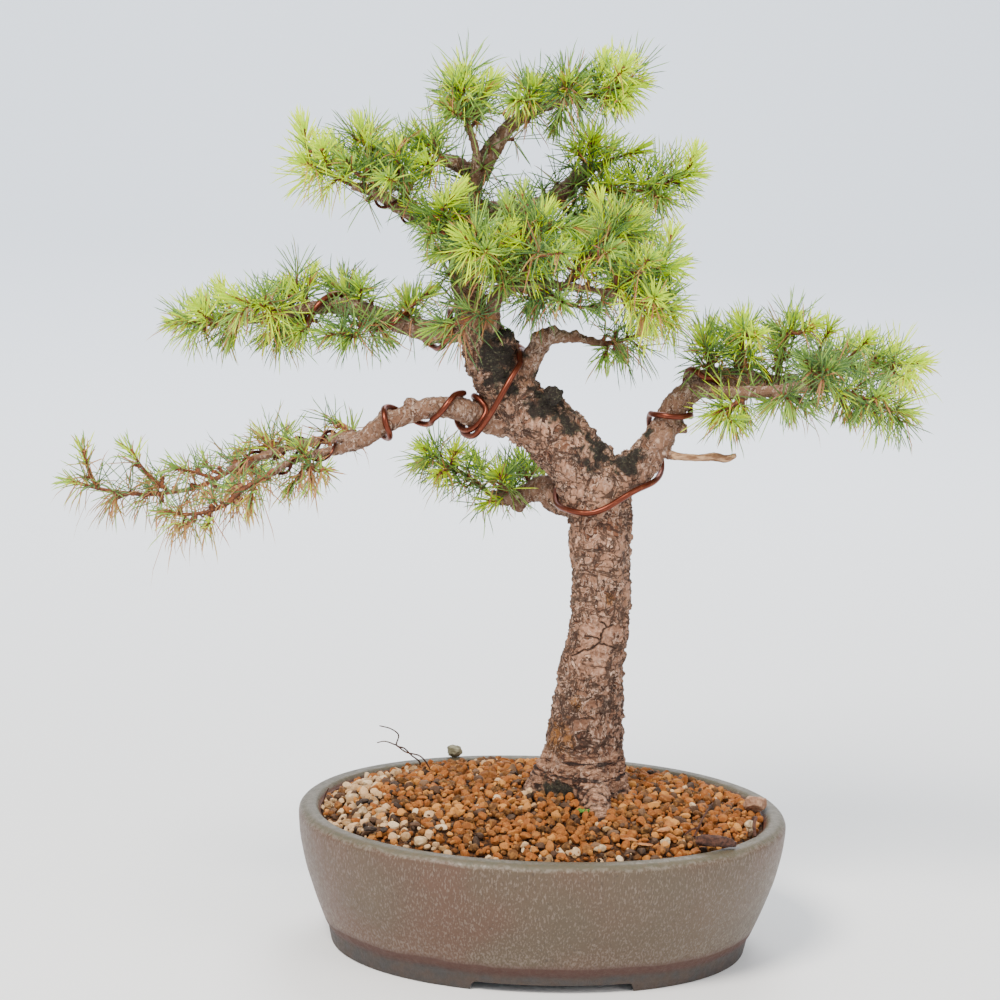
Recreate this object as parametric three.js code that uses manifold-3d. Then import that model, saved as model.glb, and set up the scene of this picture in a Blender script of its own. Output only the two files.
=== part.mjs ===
// A european larch bonsai in a shallow oval glazed pot.
// Millimetres, +Z up. The tables give real places measured from the middle of the pot on the ground,
// with +X along the pot's length and +Y towards its back. The origin ends up on the ground under
// the middle of the whole part.
import * as THREE from 'three';
import { mergeVertices } from 'three/addons/utils/BufferGeometryUtils.js';
import Module from 'manifold-3d';

const wasm = await Module();
wasm.setup();

// Driving dimensions
const POT_LENGTH = 291;
const POT_DEPTH = 234;
const POT_HEIGHT = 83;
const POT_SIDES = 36;
const OVAL_POWER = 2.08;
const FLOOR_BOTTOM = 6;
const FLOOR_TOP = 13;
const FOOT_NOTCH_LENGTH = 97;
const FOOT_NOTCH_HEIGHT = 5.5;
const FOOT_NOTCH_OFFSET = 3;
const DRAIN_RADIUS = 11;
const DRAIN_OFFSET = 58;
const SCREEN_SIZE = 34;
const SCREEN_THICKNESS = 1;
const SOIL_EDGE_HEIGHT = 79.5;
const SOIL_DOME_RISE = 14.5;
const GRAVEL_RELIEF = 2.8;
const GAP = 0.35;
const NEEDLE_LENGTH = 23;
const NEEDLE_RADIUS = 0.7;
const TWIG_RADIUS = 1.7;
const TWIG_TIP_RADIUS = 1.4;
const TWIG_SIDES = 4;
const FORK_CLEAR = 7;
const FORK_SHARES = [0.3, 0.55, 0.8];
const THICK_WIRE = 1.6;
const THIN_WIRE = 0.9;
const ROOTLET_RADIUS = 0.5;
const CHIP_RADII = [2.6, 3.4, 2.2];
const SEED = 20240501;

// Limbs as [x, y, z, radius] along their middle line, from the root of each outwards
const LIMBS = {
  trunk: [[25, 9, 62, 27], [24, 11, 86, 29], [23, 11, 97, 28], [24, 11, 113, 24.5], [24, 10, 128, 22.5],
    [25, 8, 147, 21.2], [26, 5, 170, 19.2], [29, 3, 191, 17.8], [29, 2, 212, 17.4], [28, 1, 234, 17.4],
    [27, 0, 258, 18.6], [23, 1, 276, 20.6], [12, 1, 294, 19], [-6, 1, 312, 18], [-22, 1, 323, 17.4],
    [-35, 2, 340, 15.7], [-43, 2, 357, 14.5], [-50, 5, 373, 11.6], [-55, 6, 385, 9.3], [-59, 8, 402, 8.1],
    [-60, 9, 423, 7.5], [-57, 11, 443, 7], [-53, 13, 460, 6.6]],
  rootFront: [[25, -4, 106, 13], [28, -20, 96, 10], [30, -33, 87, 7], [32, -44, 77, 4]],
  rootLeft: [[13, 8, 116, 12], [1, 9, 102, 10], [-8, 7, 92, 7], [-19, 3, 78, 4]],
  rootRight: [[34, 8, 103, 10], [44, 6, 92, 8], [52, 4, 83, 6], [60, 2, 74, 4]],
  rootBack: [[22, 24, 106, 12], [18, 38, 95, 8], [13, 50, 86, 5], [8, 60, 76, 3.5]],
  lowLeft: [[-31, 2, 313, 8.4], [-48, -3, 319, 8.1], [-61, -9, 324, 7], [-76, -10, 324, 6.4],
    [-90, -11, 319, 5.9], [-102, -12, 314, 6], [-113, -14, 306, 5.2]],
  lowLeftBack: [[-112, -14, 306, 4.6], [-127, -13, 305, 3.6], [-140, -11, 303, 3.1], [-154, -8, 299, 2.9],
    [-174, -4, 291, 2.6], [-192, -1, 282, 2.4]],
  lowLeftFront: [[-112, -14, 305, 4.6], [-124, -21, 301, 3.5], [-139, -30, 299, 2.9], [-154, -35, 295, 2.6],
    [-168, -39, 287, 2.4]],
  midLeft: [[-46, 5, 373, 8.3], [-64, 8, 367, 7.7], [-77, 8, 366, 7], [-91, 7, 370, 6.4], [-106, 6, 374, 5.8],
    [-122, 5, 379, 5.2], [-138, 4, 379, 4.6], [-155, 3, 376, 4.1], [-174, 2, 372, 3.4], [-188, 2, 369, 2.8]],
  backLeft: [[17, 12, 266, 10.6], [4, 26, 267, 10.1], [-4, 34, 270, 8.9], [-14, 43, 265, 6],
    [-25, 49, 261, 5.2], [-35, 54, 260, 4.6]],
  right: [[24, 0, 278, 13], [45, -3, 291, 11.2], [55, -5, 303, 9.9], [62, -5, 316, 8.7], [68, -6, 330, 7.9],
    [76, -6, 338, 7.3], [84, -5, 343, 7.2]],
  rightBack: [[81, -5, 343, 7.2], [95, 3, 344, 7.2], [112, 8, 342, 7], [127, 13, 340, 5.9], [142, 16, 342, 4.5]],
  rightFront: [[79, -6, 341, 5.8], [88, -17, 339, 5.2], [105, -26, 342, 4.7], [123, -35, 346, 4.6],
    [141, -42, 349, 4.5], [151, -45, 348, 3.9]],
  deadStub: [[57, -9, 302, 4.2], [69, -18, 301, 2.7], [81, -21, 301, 2.4], [90, -21, 302, 2.9],
    [96, -22, 301, 2.6], [102, -24, 304, 1.8]],
  notch: [[-26, 3, 329, 8.2], [-20, -1, 345, 7.6], [-13, -3, 359, 7], [-8, -5, 365, 6.3], [-1, -4, 368, 5.2],
    [9, -2, 367, 4.1], [19, -1, 364, 3.5], [26, 1, 363, 2.9]],
  crownFront: [[-46, -1, 362, 6.9], [-42, -12, 375, 4.9], [-41, -16, 387, 4.5], [-35, -18, 395, 3.9],
    [-19, -23, 399, 3], [-2, -30, 400, 2.6], [17, -37, 398, 2.3], [31, -42, 396, 2]],
  topRight: [[-53, 13, 457, 6.9], [-47, 13, 468, 6.3], [-39, 12, 480, 5.2], [-32, 12, 488, 4.6],
    [-17, 9, 498, 4], [-4, 6, 502, 3.4], [9, 5, 505, 2.8]],
  topLeft: [[-55, 7, 446, 3.2], [-54, -1, 472, 2.7], [-60, -3, 488, 2.4], [-55, -5, 497, 2.1], [-49, -5, 504, 1.8]],
  upperLeft: [[-59, 8, 421, 5.8], [-73, 4, 427, 5.2], [-88, -1, 434, 4.6], [-101, -6, 441, 4],
    [-113, -10, 448, 3.6], [-125, -11, 451, 2.8]],
  upperRight: [[-57, 12, 439, 5.4], [-35, 26, 436, 5.3], [-14, 33, 439, 5.3], [1, 38, 448, 5.2],
    [10, 39, 457, 5], [16, 41, 463, 4]],
  greyStub: [[-55, 13, 459, 4.8], [-66, 8, 464, 4.5], [-73, 4, 466, 3.4]],
};

// Sprays: a twig's middle line from the limb it grows on, and the ends of its side shoots
const SPRAYS = {
  low_left_far: {
    core: [[-187, -2, 284], [-208, 0, 272], [-230, 1, 267], [-244, 2, 266], [-264, 3, 268], [-278, 3, 271]],
    tips: [[-275, -5, 292], [-248, -6, 293], [-238, 25, 271], [-221, -14, 285], [-206, 14, 284], [-260, 21, 258]],
  },
  low_left_front: {
    core: [[-164, -39, 290], [-183, -42, 278], [-190, -43, 271], [-200, -47, 267], [-211, -48, 265],
      [-225, -50, 266]],
    tips: [[-218, -34, 255], [-201, -57, 261], [-177, -54, 273], [-190, -25, 275]],
  },
  low_left_mid: { core: [[-165, -6, 294], [-172, -2, 302]], tips: [[-186, 18, 291], [-159, 13, 303]] },
  low_left_near: { core: [[-118, -13, 306], [-129, -3, 312]], tips: [[-120, 13, 306]] },
  low_left_under: {
    core: [[-146, -33, 297], [-143, -42, 284]],
    tips: [[-156, -27, 277], [-135, -55, 294], [-150, -40, 304]],
  },
  low_left_back: { core: [[-179, -3, 288], [-187, 32, 274]], tips: [[-206, 38, 261], [-173, 42, 274]] },
  mid_left_far: {
    core: [[-182, 2, 370], [-201, 3, 367], [-224, 4, 367]],
    tips: [[-210, -16, 378], [-197, -3, 387], [-192, -1, 361], [-208, 26, 377]],
  },
  mid_left_front: { core: [[-161, 2, 374], [-176, -26, 383]], tips: [[-186, -36, 379], [-189, -17, 385]] },
  mid_left_top: { core: [[-147, 3, 378], [-158, 5, 390]], tips: [[-167, 27, 385], [-146, 12, 396]] },
  mid_left_mid: { core: [[-118, 6, 378], [-133, 27, 389]], tips: [[-118, -5, 392], [-122, 47, 378]] },
  mid_left_near: { core: [[-87, 7, 369], [-91, -1, 383]], tips: [[-79, -22, 379], [-99, 30, 370]] },
  mid_left_under: { core: [[-144, 4, 378], [-170, 15, 360]], tips: [[-152, -14, 366], [-161, 39, 357]] },
  mid_left_low: { core: [[-109, 6, 375], [-124, -15, 363]], tips: [[-136, -24, 367], [-102, 16, 361]] },
  right_near: { core: [[91, 1, 344], [79, -12, 367]], tips: [[89, 13, 369]] },
  right_plume: { core: [[107, 6, 343], [103, -6, 378]], tips: [[110, -26, 373], [104, 22, 360]] },
  right_top: { core: [[127, 13, 340], [134, 3, 379]], tips: [[128, 29, 367], [144, -16, 380]] },
  right_far: {
    core: [[140, 15, 341], [157, 17, 348], [172, 16, 352], [191, 9, 355], [206, 3, 357]],
    tips: [[153, -13, 377], [175, -16, 372], [173, 36, 361], [198, -21, 351], [197, 29, 360]],
  },
  right_star: { core: [[137, -41, 349], [146, -68, 362]], tips: [[133, -62, 366]] },
  right_low_far: {
    core: [[148, -45, 348], [168, -51, 344], [181, -54, 339], [193, -57, 337]],
    tips: [[164, -39, 332], [176, -72, 348], [175, -24, 335]],
  },
  right_under: { core: [[106, -27, 342], [91, -31, 333]], tips: [[107, -14, 329], [97, -52, 339]] },
  right_low_mid: { core: [[126, -36, 346], [128, -45, 336]], tips: [[145, -24, 336], [119, -23, 334]] },
  crown_left: {
    core: [[-59, 8, 414], [-69, -10, 430], [-74, -16, 438]],
    tips: [[-67, -24, 447], [-89, -5, 439], [-80, -32, 427]],
  },
  crown_front: {
    core: [[-38, -17, 392], [-40, -32, 411], [-61, -43, 425]],
    tips: [[-74, -26, 416], [-35, -38, 429], [-49, -59, 422]],
  },
  crown_mid: {
    core: [[-26, -21, 397], [-25, -33, 417], [-15, -35, 440]],
    tips: [[-20, -7, 424], [-6, -66, 423], [2, -46, 435]],
  },
  crown_right: {
    core: [[-2, -30, 400], [12, -35, 421], [37, -18, 436]],
    tips: [[17, -23, 446], [49, 9, 427], [21, -63, 425]],
  },
  crown_far: {
    core: [[20, -38, 398], [40, -38, 408], [59, -37, 414]],
    tips: [[58, -21, 426], [42, -64, 421], [44, -10, 399]],
  },
  crown_low_far: { core: [[29, -41, 396], [42, -46, 393], [56, -47, 391]], tips: [[42, -26, 381], [46, -69, 400]] },
  crown_small: { core: [[-42, -14, 383], [-58, -23, 377], [-73, -24, 373]], tips: [[-67, -28, 393]] },
  crown_under: { core: [[-13, -25, 399], [-18, -13, 388]], tips: [[-5, -50, 393], [18, -17, 386], [-33, 2, 398]] },
  crown_back: {
    core: [[-26, 28, 437], [-23, 49, 416], [-8, 57, 403]],
    tips: [[-35, 46, 403], [19, 61, 410], [-46, 55, 422]],
  },
  crown_back_right: {
    core: [[-8, 35, 442], [17, 47, 427], [46, 33, 410]],
    tips: [[26, 71, 411], [41, 60, 422], [29, 12, 396]],
  },
  notch: { core: [[23, 0, 363], [34, 0, 365], [45, -3, 370]], tips: [[24, -11, 357], [36, 16, 357]] },
  top_left: {
    core: [[-58, -2, 483], [-63, -4, 499], [-67, -8, 513]],
    tips: [[-72, -20, 498], [-53, 17, 493], [-48, -7, 510]],
  },
  top_mid: { core: [[-24, 10, 493], [-22, -3, 509]], tips: [[-34, -22, 503], [-12, 27, 505]] },
  top_right: { core: [[-5, 6, 501], [-4, -8, 514]], tips: [[7, 24, 510], [-8, 8, 490]] },
  top_far: {
    core: [[6, 5, 504], [19, 3, 509], [34, 2, 513]],
    tips: [[17, -1, 524], [28, -20, 524], [27, -16, 503], [24, 29, 508]],
  },
  left_top_far: {
    core: [[-121, -10, 450], [-140, -12, 458], [-151, -16, 463]],
    tips: [[-153, -17, 482], [-142, -30, 473], [-135, 6, 472]],
  },
  left_top_mid: { core: [[-108, -8, 445], [-120, -7, 482]], tips: [[-129, -29, 467], [-110, 18, 468]] },
  left_top_near: { core: [[-92, -3, 436], [-100, -14, 472]], tips: [[-90, 11, 460], [-105, -36, 458]] },
  left_top_stub: { core: [[-71, 5, 465], [-86, 1, 478]], tips: [[-76, 24, 477], [-83, -13, 466]] },
  right_top_up: { core: [[14, 40, 460], [16, 37, 478]], tips: [[29, 54, 471], [5, 22, 473], [42, 30, 473]] },
  right_top_far: {
    core: [[5, 38, 453], [27, 27, 449], [49, 19, 452], [71, 10, 462]],
    tips: [[72, 6, 473], [45, 36, 442], [54, -3, 449]],
  },
  back_left_far: {
    core: [[-33, 54, 260], [-48, 55, 271], [-64, 52, 281], [-77, 48, 290]],
    tips: [[-79, 67, 278], [-58, 41, 290], [-68, 34, 277]],
  },
  back_left_up: { core: [[-24, 49, 261], [-32, 40, 277]], tips: [[-44, 71, 279], [-37, 44, 259]] },
  back_left_near: { core: [[-11, 41, 266], [-17, 63, 280]], tips: [[-3, 78, 274], [-22, 85, 266]] },
};

// Colours and finishes
const FINISH = {
  glazedClay: { color: '#75675a', roughness: 0.55, metalness: 0 },
  gravel: { color: '#a5703c', roughness: 0.95, metalness: 0 },
  bark: { color: '#8f7468', roughness: 0.95, metalness: 0 },
  copperWire: { color: '#8a4630', roughness: 0.35, metalness: 1 },
  needles: { color: '#8fb53a', roughness: 0.6, metalness: 0 },
  plasticMesh: { color: '#22252a', roughness: 0.6, metalness: 0 },
  stone: { color: '#6f6a52', roughness: 0.9, metalness: 0 },
  deadWood: { color: '#3f2620', roughness: 0.9, metalness: 0 },
};

// Random draws that come out the same each time
function seeded(seed) {
  let state = seed >>> 0;
  return () => {
    state = (state + 0x6d2b79f5) >>> 0;
    let mixed = Math.imul(state ^ (state >>> 15), 1 | state);
    mixed = (mixed + Math.imul(mixed ^ (mixed >>> 7), 61 | mixed)) ^ mixed;
    return ((mixed ^ (mixed >>> 14)) >>> 0) / 4294967296;
  };
}

const vector = (point) => new THREE.Vector3(point[0], point[1], point[2]);

// Closed geometry to solid and back
function solid(geometry) {
  const bare = geometry.clone();
  bare.deleteAttribute('normal');
  bare.deleteAttribute('uv');
  const merged = mergeVertices(bare, 1e-4);
  return new wasm.Manifold(new wasm.Mesh({
    numProp: 3,
    vertProperties: merged.attributes.position.array,
    triVerts: new Uint32Array(merged.index.array),
  }));
}

function geometryOf(shape) {
  const mesh = shape.getMesh();
  const geometry = new THREE.BufferGeometry();
  geometry.setAttribute('position', new THREE.BufferAttribute(new Float32Array(mesh.vertProperties), 3));
  geometry.setIndex(new THREE.BufferAttribute(new Uint32Array(mesh.triVerts), 1));
  geometry.computeVertexNormals();
  return geometry;
}

const joined = (shapes) => shapes.reduce((whole, shape) => whole.add(shape));

// The largest body of a solid, without loose scraps
function largest(shape) {
  const bodies = shape.decompose();
  return bodies.reduce((best, body) => (body.volume() > best.volume() ? body : best));
}

// At each point of a line: the way it runs, and two ways square to it that don't twist
function framesAlong(points) {
  const last = points.length - 1;
  let normal = new THREE.Vector3(0.31, -0.95, 0.05);
  return points.map((_, i) => {
    const along = points[Math.min(i + 1, last)].clone().sub(points[Math.max(i - 1, 0)]).normalize();
    normal = normal.clone().addScaledVector(along, -normal.dot(along)).normalize();
    return { along, normal, side: along.clone().cross(normal) };
  });
}

// A tapered tube through points with radii: a cylinder whose rings follow the line
function tube(points, radii, sides, relief = () => 1) {
  const rings = points.length - 1;
  const geometry = new THREE.CylinderGeometry(1, 1, 1, sides, rings);
  const frames = framesAlong(points);
  const position = geometry.attributes.position;
  const place = new THREE.Vector3();
  for (let i = 0; i < position.count; i += 1) {
    place.fromBufferAttribute(position, i);
    const ring = Math.round((0.5 - place.y) * rings);
    const radius = radii[ring] * relief(ring, Math.atan2(place.z, place.x));
    const frame = frames[ring];
    const centre = points[ring].clone();
    centre.addScaledVector(frame.normal, place.x * radius).addScaledVector(frame.side, place.z * radius);
    position.setXYZ(i, centre.x, centre.y, centre.z);
  }
  return solid(geometry);
}

// Trunk bark stands out in plates, deeper low down, and the foot is fluted where roots start
function barkRelief(ring, angle) {
  const plates = 0.035 * Math.sin(angle * 5 + ring * 1.7) * Math.cos(ring * 2.3);
  const flutes = ring < 5 ? 0.05 * Math.cos(angle * 3 - 0.6) : 0;
  return 1 + plates + flutes;
}

const limbPoints = (limb) => limb.map(vector);

function limbSolid(name, extra) {
  const limb = LIMBS[name];
  const thickest = Math.max(...limb.map((point) => point[3]));
  let sides = thickest > 15 ? 12 : 6;
  if (thickest < 6) sides = 5;
  const radii = limb.map((point) => point[3] + extra);
  return tube(limbPoints(limb), radii, sides, name === 'trunk' ? barkRelief : undefined);
}

// Knobs of callus and cut branch stumps on the trunk and limbs, as [x, y, z, radius]
const KNOBS = [[-5, -14, 334, 6], [58, -12, 309, 7], [71, -10, 316, 4], [-87, -10, 326, 4.6],
  [-19, 44, 258, 5], [76, -2, 347, 5], [-32, -6, 366, 5], [-28, 4, 360, 4], [22, -16, 268, 7],
  [0, 30, 262, 6], [-101, -11, 318, 5]];

function knobSolid(knob, extra) {
  const geometry = new THREE.IcosahedronGeometry(knob[3] + extra, 0);
  geometry.translate(knob[0], knob[1], knob[2]);
  return solid(geometry);
}

function woodSolid(extra = 0) {
  const limbs = Object.keys(LIMBS).map((name) => limbSolid(name, extra));
  return joined([...limbs, ...KNOBS.map((knob) => knobSolid(knob, extra))]);
}

// Straight stretches of wood, wire and twig, used to keep the pieces clear of each other
const woodStretches = Object.values(LIMBS).flatMap((limb) => limb.slice(1).map((point, i) => ({
  from: vector(limb[i]),
  to: vector(point),
  fromRadius: limb[i][3],
  toRadius: point[3],
  owner: 'wood',
})));

function nearest(stretch, point) {
  const along = stretch.to.clone().sub(stretch.from);
  const share = THREE.MathUtils.clamp(point.clone().sub(stretch.from).dot(along) / along.lengthSq(), 0, 1);
  const centre = stretch.from.clone().addScaledVector(along, share);
  const radius = THREE.MathUtils.lerp(stretch.fromRadius, stretch.toRadius, share);
  return { centre, radius };
}

// Moves a point of a wire out of the wood until the wire lies on the bark
function onBark(point, radius) {
  const moved = point.clone();
  const clear = radius + 0.9;
  for (let pass = 0; pass < 6; pass += 1) {
    for (const stretch of woodStretches) {
      const near = nearest(stretch, moved);
      const away = moved.clone().sub(near.centre);
      const least = near.radius * 1.04 + clear;
      if (away.length() < least) moved.copy(near.centre).addScaledVector(away.normalize(), least);
    }
  }
  return moved;
}

// Points of a wire wound on a limb. Each knot is [place along the limb, turns round it],
// where no turn is the top of the limb.
function wound(limb, knots, radius, perTurn = 7) {
  const points = [];
  for (let k = 1; k < knots.length; k += 1) {
    const [fromPlace, fromTurn] = knots[k - 1];
    const [toPlace, toTurn] = knots[k];
    const steps = Math.max(1, Math.round(Math.abs(toTurn - fromTurn) * perTurn));
    for (let i = k === 1 ? 0 : 1; i <= steps; i += 1) {
      const place = THREE.MathUtils.lerp(fromPlace, toPlace, i / steps);
      const turn = THREE.MathUtils.lerp(fromTurn, toTurn, i / steps) * 2 * Math.PI;
      const index = Math.min(Math.floor(place), limb.length - 2);
      const from = limb[index];
      const to = limb[index + 1];
      const share = place - index;
      const centre = vector(from).lerp(vector(to), share);
      const reach = THREE.MathUtils.lerp(from[3], to[3], share) + radius + 0.9;
      const along = vector(to).sub(vector(from)).normalize();
      const up = new THREE.Vector3(0, 0, 1).addScaledVector(along, -along.z).normalize();
      const side = along.clone().cross(up);
      points.push(centre.addScaledVector(up, Math.cos(turn) * reach).addScaledVector(side, Math.sin(turn) * reach));
    }
  }
  return points;
}

const RIGHT_WIRED = [...LIMBS.right.slice(2), ...LIMBS.rightBack.slice(1)];
const WIRES = {
  wire_left_pair: {
    radius: THICK_WIRE,
    route: [
      ...wound(LIMBS.midLeft, [[7.3, -2.9], [6.4, -2.25], [3.5, -1.25], [1.1, -0.25], [0.6, 0.1]], THICK_WIRE),
      ...[[-47, 24, 366], [-35, 24, 361], [-24, 19, 357], [-21, 6, 355], [-25, -11, 351], [-31, -18, 342],
        [-38, -20, 329], [-44, -19, 318], [-50, -14, 309], [-56, -2, 309], [-54, 7, 316], [-47, 6, 325]].map(vector),
      ...wound(LIMBS.lowLeft, [[0.85, 0], [1.85, -1], [4.75, -2], [5.3, -2.6]], THICK_WIRE),
    ],
  },
  wire_right: {
    radius: THICK_WIRE,
    route: [
      ...[[7, 14, 275], [6, 2, 271], [9, -10, 268], [19, -18, 267], [27, -21, 270], [36, -20, 275],
        [45, -17, 280], [56, -6, 285], [62, 6, 289], [61, 12, 297], [55, 10, 308]].map(vector),
      ...wound(RIGHT_WIRED, [[1.15, 0], [2, 0.5], [4.3, 1], [5.4, 1.5], [6.6, 2], [7.4, 2.7]], THICK_WIRE),
    ],
  },
  wire_low_left_back: {
    radius: THIN_WIRE,
    route: wound(LIMBS.lowLeftBack, [[1.2, 0.2], [4.7, -2.4]], THIN_WIRE, 6),
  },
  wire_low_left_front: {
    radius: THIN_WIRE,
    route: wound(LIMBS.lowLeftFront, [[1.2, 0.1], [3.6, -1.6]], THIN_WIRE, 6),
  },
  wire_upper_left: {
    radius: THIN_WIRE,
    route: wound(LIMBS.upperLeft, [[1.3, 0.2], [4.4, -2.3]], THIN_WIRE, 6),
  },
};
for (const wire of Object.values(WIRES)) {
  wire.points = wire.route.map((point) => onBark(point, wire.radius));
}

function wireSolid(wire, extra = 0) {
  const sides = wire.radius === THICK_WIRE ? 6 : 4;
  return tube(wire.points, wire.points.map(() => wire.radius + extra), sides);
}

const wireStretches = Object.entries(WIRES).flatMap(([name, wire]) => wire.points.slice(1).map((point, i) => ({
  from: wire.points[i],
  to: point,
  fromRadius: wire.radius,
  toRadius: wire.radius,
  owner: name,
})));

// Smallest distance between two straight stretches
function apart(one, other) {
  const u = one.to.clone().sub(one.from);
  const v = other.to.clone().sub(other.from);
  const w = one.from.clone().sub(other.from);
  const [a, b, c, d, e] = [u.dot(u), u.dot(v), v.dot(v), u.dot(w), v.dot(w)];
  const level = a * c - b * b;
  let s = level < 1e-9 ? 0 : THREE.MathUtils.clamp((b * e - c * d) / level, 0, 1);
  let t = (b * s + e) / c;
  if (t < 0 || t > 1) {
    t = THREE.MathUtils.clamp(t, 0, 1);
    s = THREE.MathUtils.clamp((b * t - d) / a, 0, 1);
  }
  const gap = w.addScaledVector(u, s).addScaledVector(v, -t).length();
  const oneRadius = THREE.MathUtils.lerp(one.fromRadius, one.toRadius, s);
  const otherRadius = THREE.MathUtils.lerp(other.fromRadius, other.toRadius, t);
  return gap - oneRadius - otherRadius;
}

const isClear = (stretch, others) => others.every((other) => (
  other.owner === stretch.owner || apart(stretch, other) > GAP));

function stretchesOf(owner, points, fromRadius, toRadius) {
  const count = points.length - 1;
  return points.slice(1).map((point, i) => ({
    from: points[i],
    to: point,
    fromRadius: THREE.MathUtils.lerp(fromRadius, toRadius, i / count),
    toRadius: THREE.MathUtils.lerp(fromRadius, toRadius, (i + 1) / count),
    owner,
  }));
}

// The point of a core that a side shoot starts from: near its tip, but a little nearer the core's root
function forkOf(core, tip) {
  let best = { point: core[0], distance: Infinity };
  const fine = core.slice(1).flatMap((point, i) => FORK_SHARES.map((share) => core[i].clone().lerp(point, share)));
  fine.forEach((point, i) => {
    const distance = point.distanceTo(tip) * (1 + 0.35 * (i / fine.length));
    if (point.distanceTo(core[0]) > FORK_CLEAR && distance < best.distance) best = { point, distance };
  });
  return best.point;
}

// A spray's twigs: the core and one side shoot for each tip, each as points with end radii
function twigsOf(name) {
  const spray = SPRAYS[name];
  const core = spray.core.map(vector);
  const twigs = [{ points: core, from: TWIG_RADIUS, to: TWIG_TIP_RADIUS }];
  for (const tip of spray.tips) {
    const end = vector(tip);
    twigs.push({ points: [forkOf(core, end), end], from: TWIG_TIP_RADIUS, to: TWIG_TIP_RADIUS });
  }
  return twigs;
}

// All twigs stand first, so that no needle crosses another spray's twig
const twigs = {};
const twigStretches = [];
for (const name of Object.keys(SPRAYS)) {
  twigs[name] = [];
  for (const twig of twigsOf(name)) {
    const stretches = stretchesOf(name, twig.points, twig.from, twig.to);
    const isCore = twigs[name].length === 0;
    const others = isCore ? [] : [...twigStretches, ...wireStretches, ...woodStretches];
    if (stretches.every((stretch) => isClear(stretch, others))) {
      twigs[name].push(twig);
      twigStretches.push(...stretches);
    }
  }
}

function needleSolid(root, tip) {
  const length = root.distanceTo(tip);
  const geometry = new THREE.ConeGeometry(NEEDLE_RADIUS, length, 3);
  geometry.translate(0, length / 2, 0);
  const turned = new THREE.Quaternion().setFromUnitVectors(
    new THREE.Vector3(0, 1, 0),
    tip.clone().sub(root).normalize(),
  );
  geometry.applyQuaternion(turned);
  geometry.translate(root.x, root.y, root.z);
  return solid(geometry);
}

const needleStretches = [];
const random = seeded(SEED);
const LEANS = [58, 84, 68, 100];
const LEAN_TRIES = [0, 16, -16, 32, -32];

// A needle that leaves a twig's line at a lean, turned aside where it would come within a hair of
// another piece, or left out
function needle(name, root, along, outwards, lean) {
  const length = NEEDLE_LENGTH * (0.9 + 0.2 * random());
  for (const change of LEAN_TRIES) {
    const angle = THREE.MathUtils.degToRad(lean + change);
    const way = along.clone().multiplyScalar(Math.cos(angle)).addScaledVector(outwards, Math.sin(angle));
    const tip = root.clone().addScaledVector(way, length);
    const stretch = { from: root, to: tip, fromRadius: NEEDLE_RADIUS, toRadius: 0.1, owner: name };
    if (isClear(stretch, [...woodStretches, ...wireStretches, ...twigStretches, ...needleStretches])) {
      needleStretches.push(stretch);
      return [needleSolid(root, tip)];
    }
  }
  return [];
}

// Needles that leave the middles of a twig's flats at one place
function whorl(name, root, frame, flats) {
  const shapes = [];
  for (const flat of flats) {
    const turn = ((flat + 0.5) / TWIG_SIDES) * 2 * Math.PI;
    const outwards = frame.normal.clone().multiplyScalar(Math.cos(turn))
      .addScaledVector(frame.side, Math.sin(turn));
    shapes.push(...needle(name, root, frame.along, outwards, LEANS[flat] + 12 * (random() - 0.5)));
  }
  return shapes;
}

function spraySolid(name, keepOff) {
  const shapes = [];
  for (const [index, twig] of twigs[name].entries()) {
    const last = twig.points.length - 1;
    const radii = twig.points.map((_, i) => THREE.MathUtils.lerp(twig.from, twig.to, i / last));
    const frames = framesAlong(twig.points);
    shapes.push(tube(twig.points, radii, TWIG_SIDES));
    const end = twig.points[last].clone().addScaledVector(frames[last].along, -1.6);
    const flats = index === 0 ? [0, 1, 2, 3] : [0, 1, 2].map((flat) => (flat + index) % TWIG_SIDES);
    shapes.push(...whorl(name, end, frames[last], flats));
    for (let i = 1; i < last; i += 1) {
      const between = twig.points[i].clone().lerp(twig.points[i + 1], 0.5);
      shapes.push(...whorl(name, between, frames[i], i % 2 === 0 ? [0, 2] : [1, 3]));
    }
  }
  return largest(joined(shapes).subtract(keepOff));
}

// The pot: a closed profile turned to an oval whose wall keeps one thickness
const HALF_LENGTH = POT_LENGTH / 2;
const DEPTH_LOSS = (POT_LENGTH - POT_DEPTH) / 2;
const OVAL_FLAT = 100;

function oval(x, y) {
  const radius = Math.hypot(x, y);
  if (radius < 1e-6) return [0, 0];
  const cos = x / radius;
  const sin = y / radius;
  const bend = (value) => Math.sign(value) * Math.abs(value) ** (2 / OVAL_POWER);
  return [radius * bend(cos), (radius - DEPTH_LOSS * Math.min(1, radius / OVAL_FLAT)) * bend(sin)];
}

function ovalLathe(profile, lift = (x, y, z) => z) {
  const closed = profile.map(([radius, height]) => new THREE.Vector2(radius, height));
  const geometry = new THREE.LatheGeometry(closed, POT_SIDES);
  geometry.rotateX(Math.PI / 2);
  const position = geometry.attributes.position;
  for (let i = 0; i < position.count; i += 1) {
    const [x, y] = oval(position.getX(i), position.getY(i));
    position.setXYZ(i, x, y, lift(x, y, position.getZ(i)));
  }
  return solid(geometry);
}

function boxSolid(size, centre) {
  const geometry = new THREE.BoxGeometry(...size);
  geometry.translate(...centre);
  return solid(geometry);
}

function roundHole(radius, height, x, z) {
  const geometry = new THREE.CylinderGeometry(radius, radius, height, 14);
  geometry.rotateX(Math.PI / 2);
  geometry.translate(x, 0, z);
  return solid(geometry);
}

// Inner wall of the pot as [radius, height], from the floor to the lip
const INNER_WALL = [[108, FLOOR_TOP], [116, 19], [122.5, 34], [127.5, 52], [131, 70], [132.4, 79]];

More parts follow.
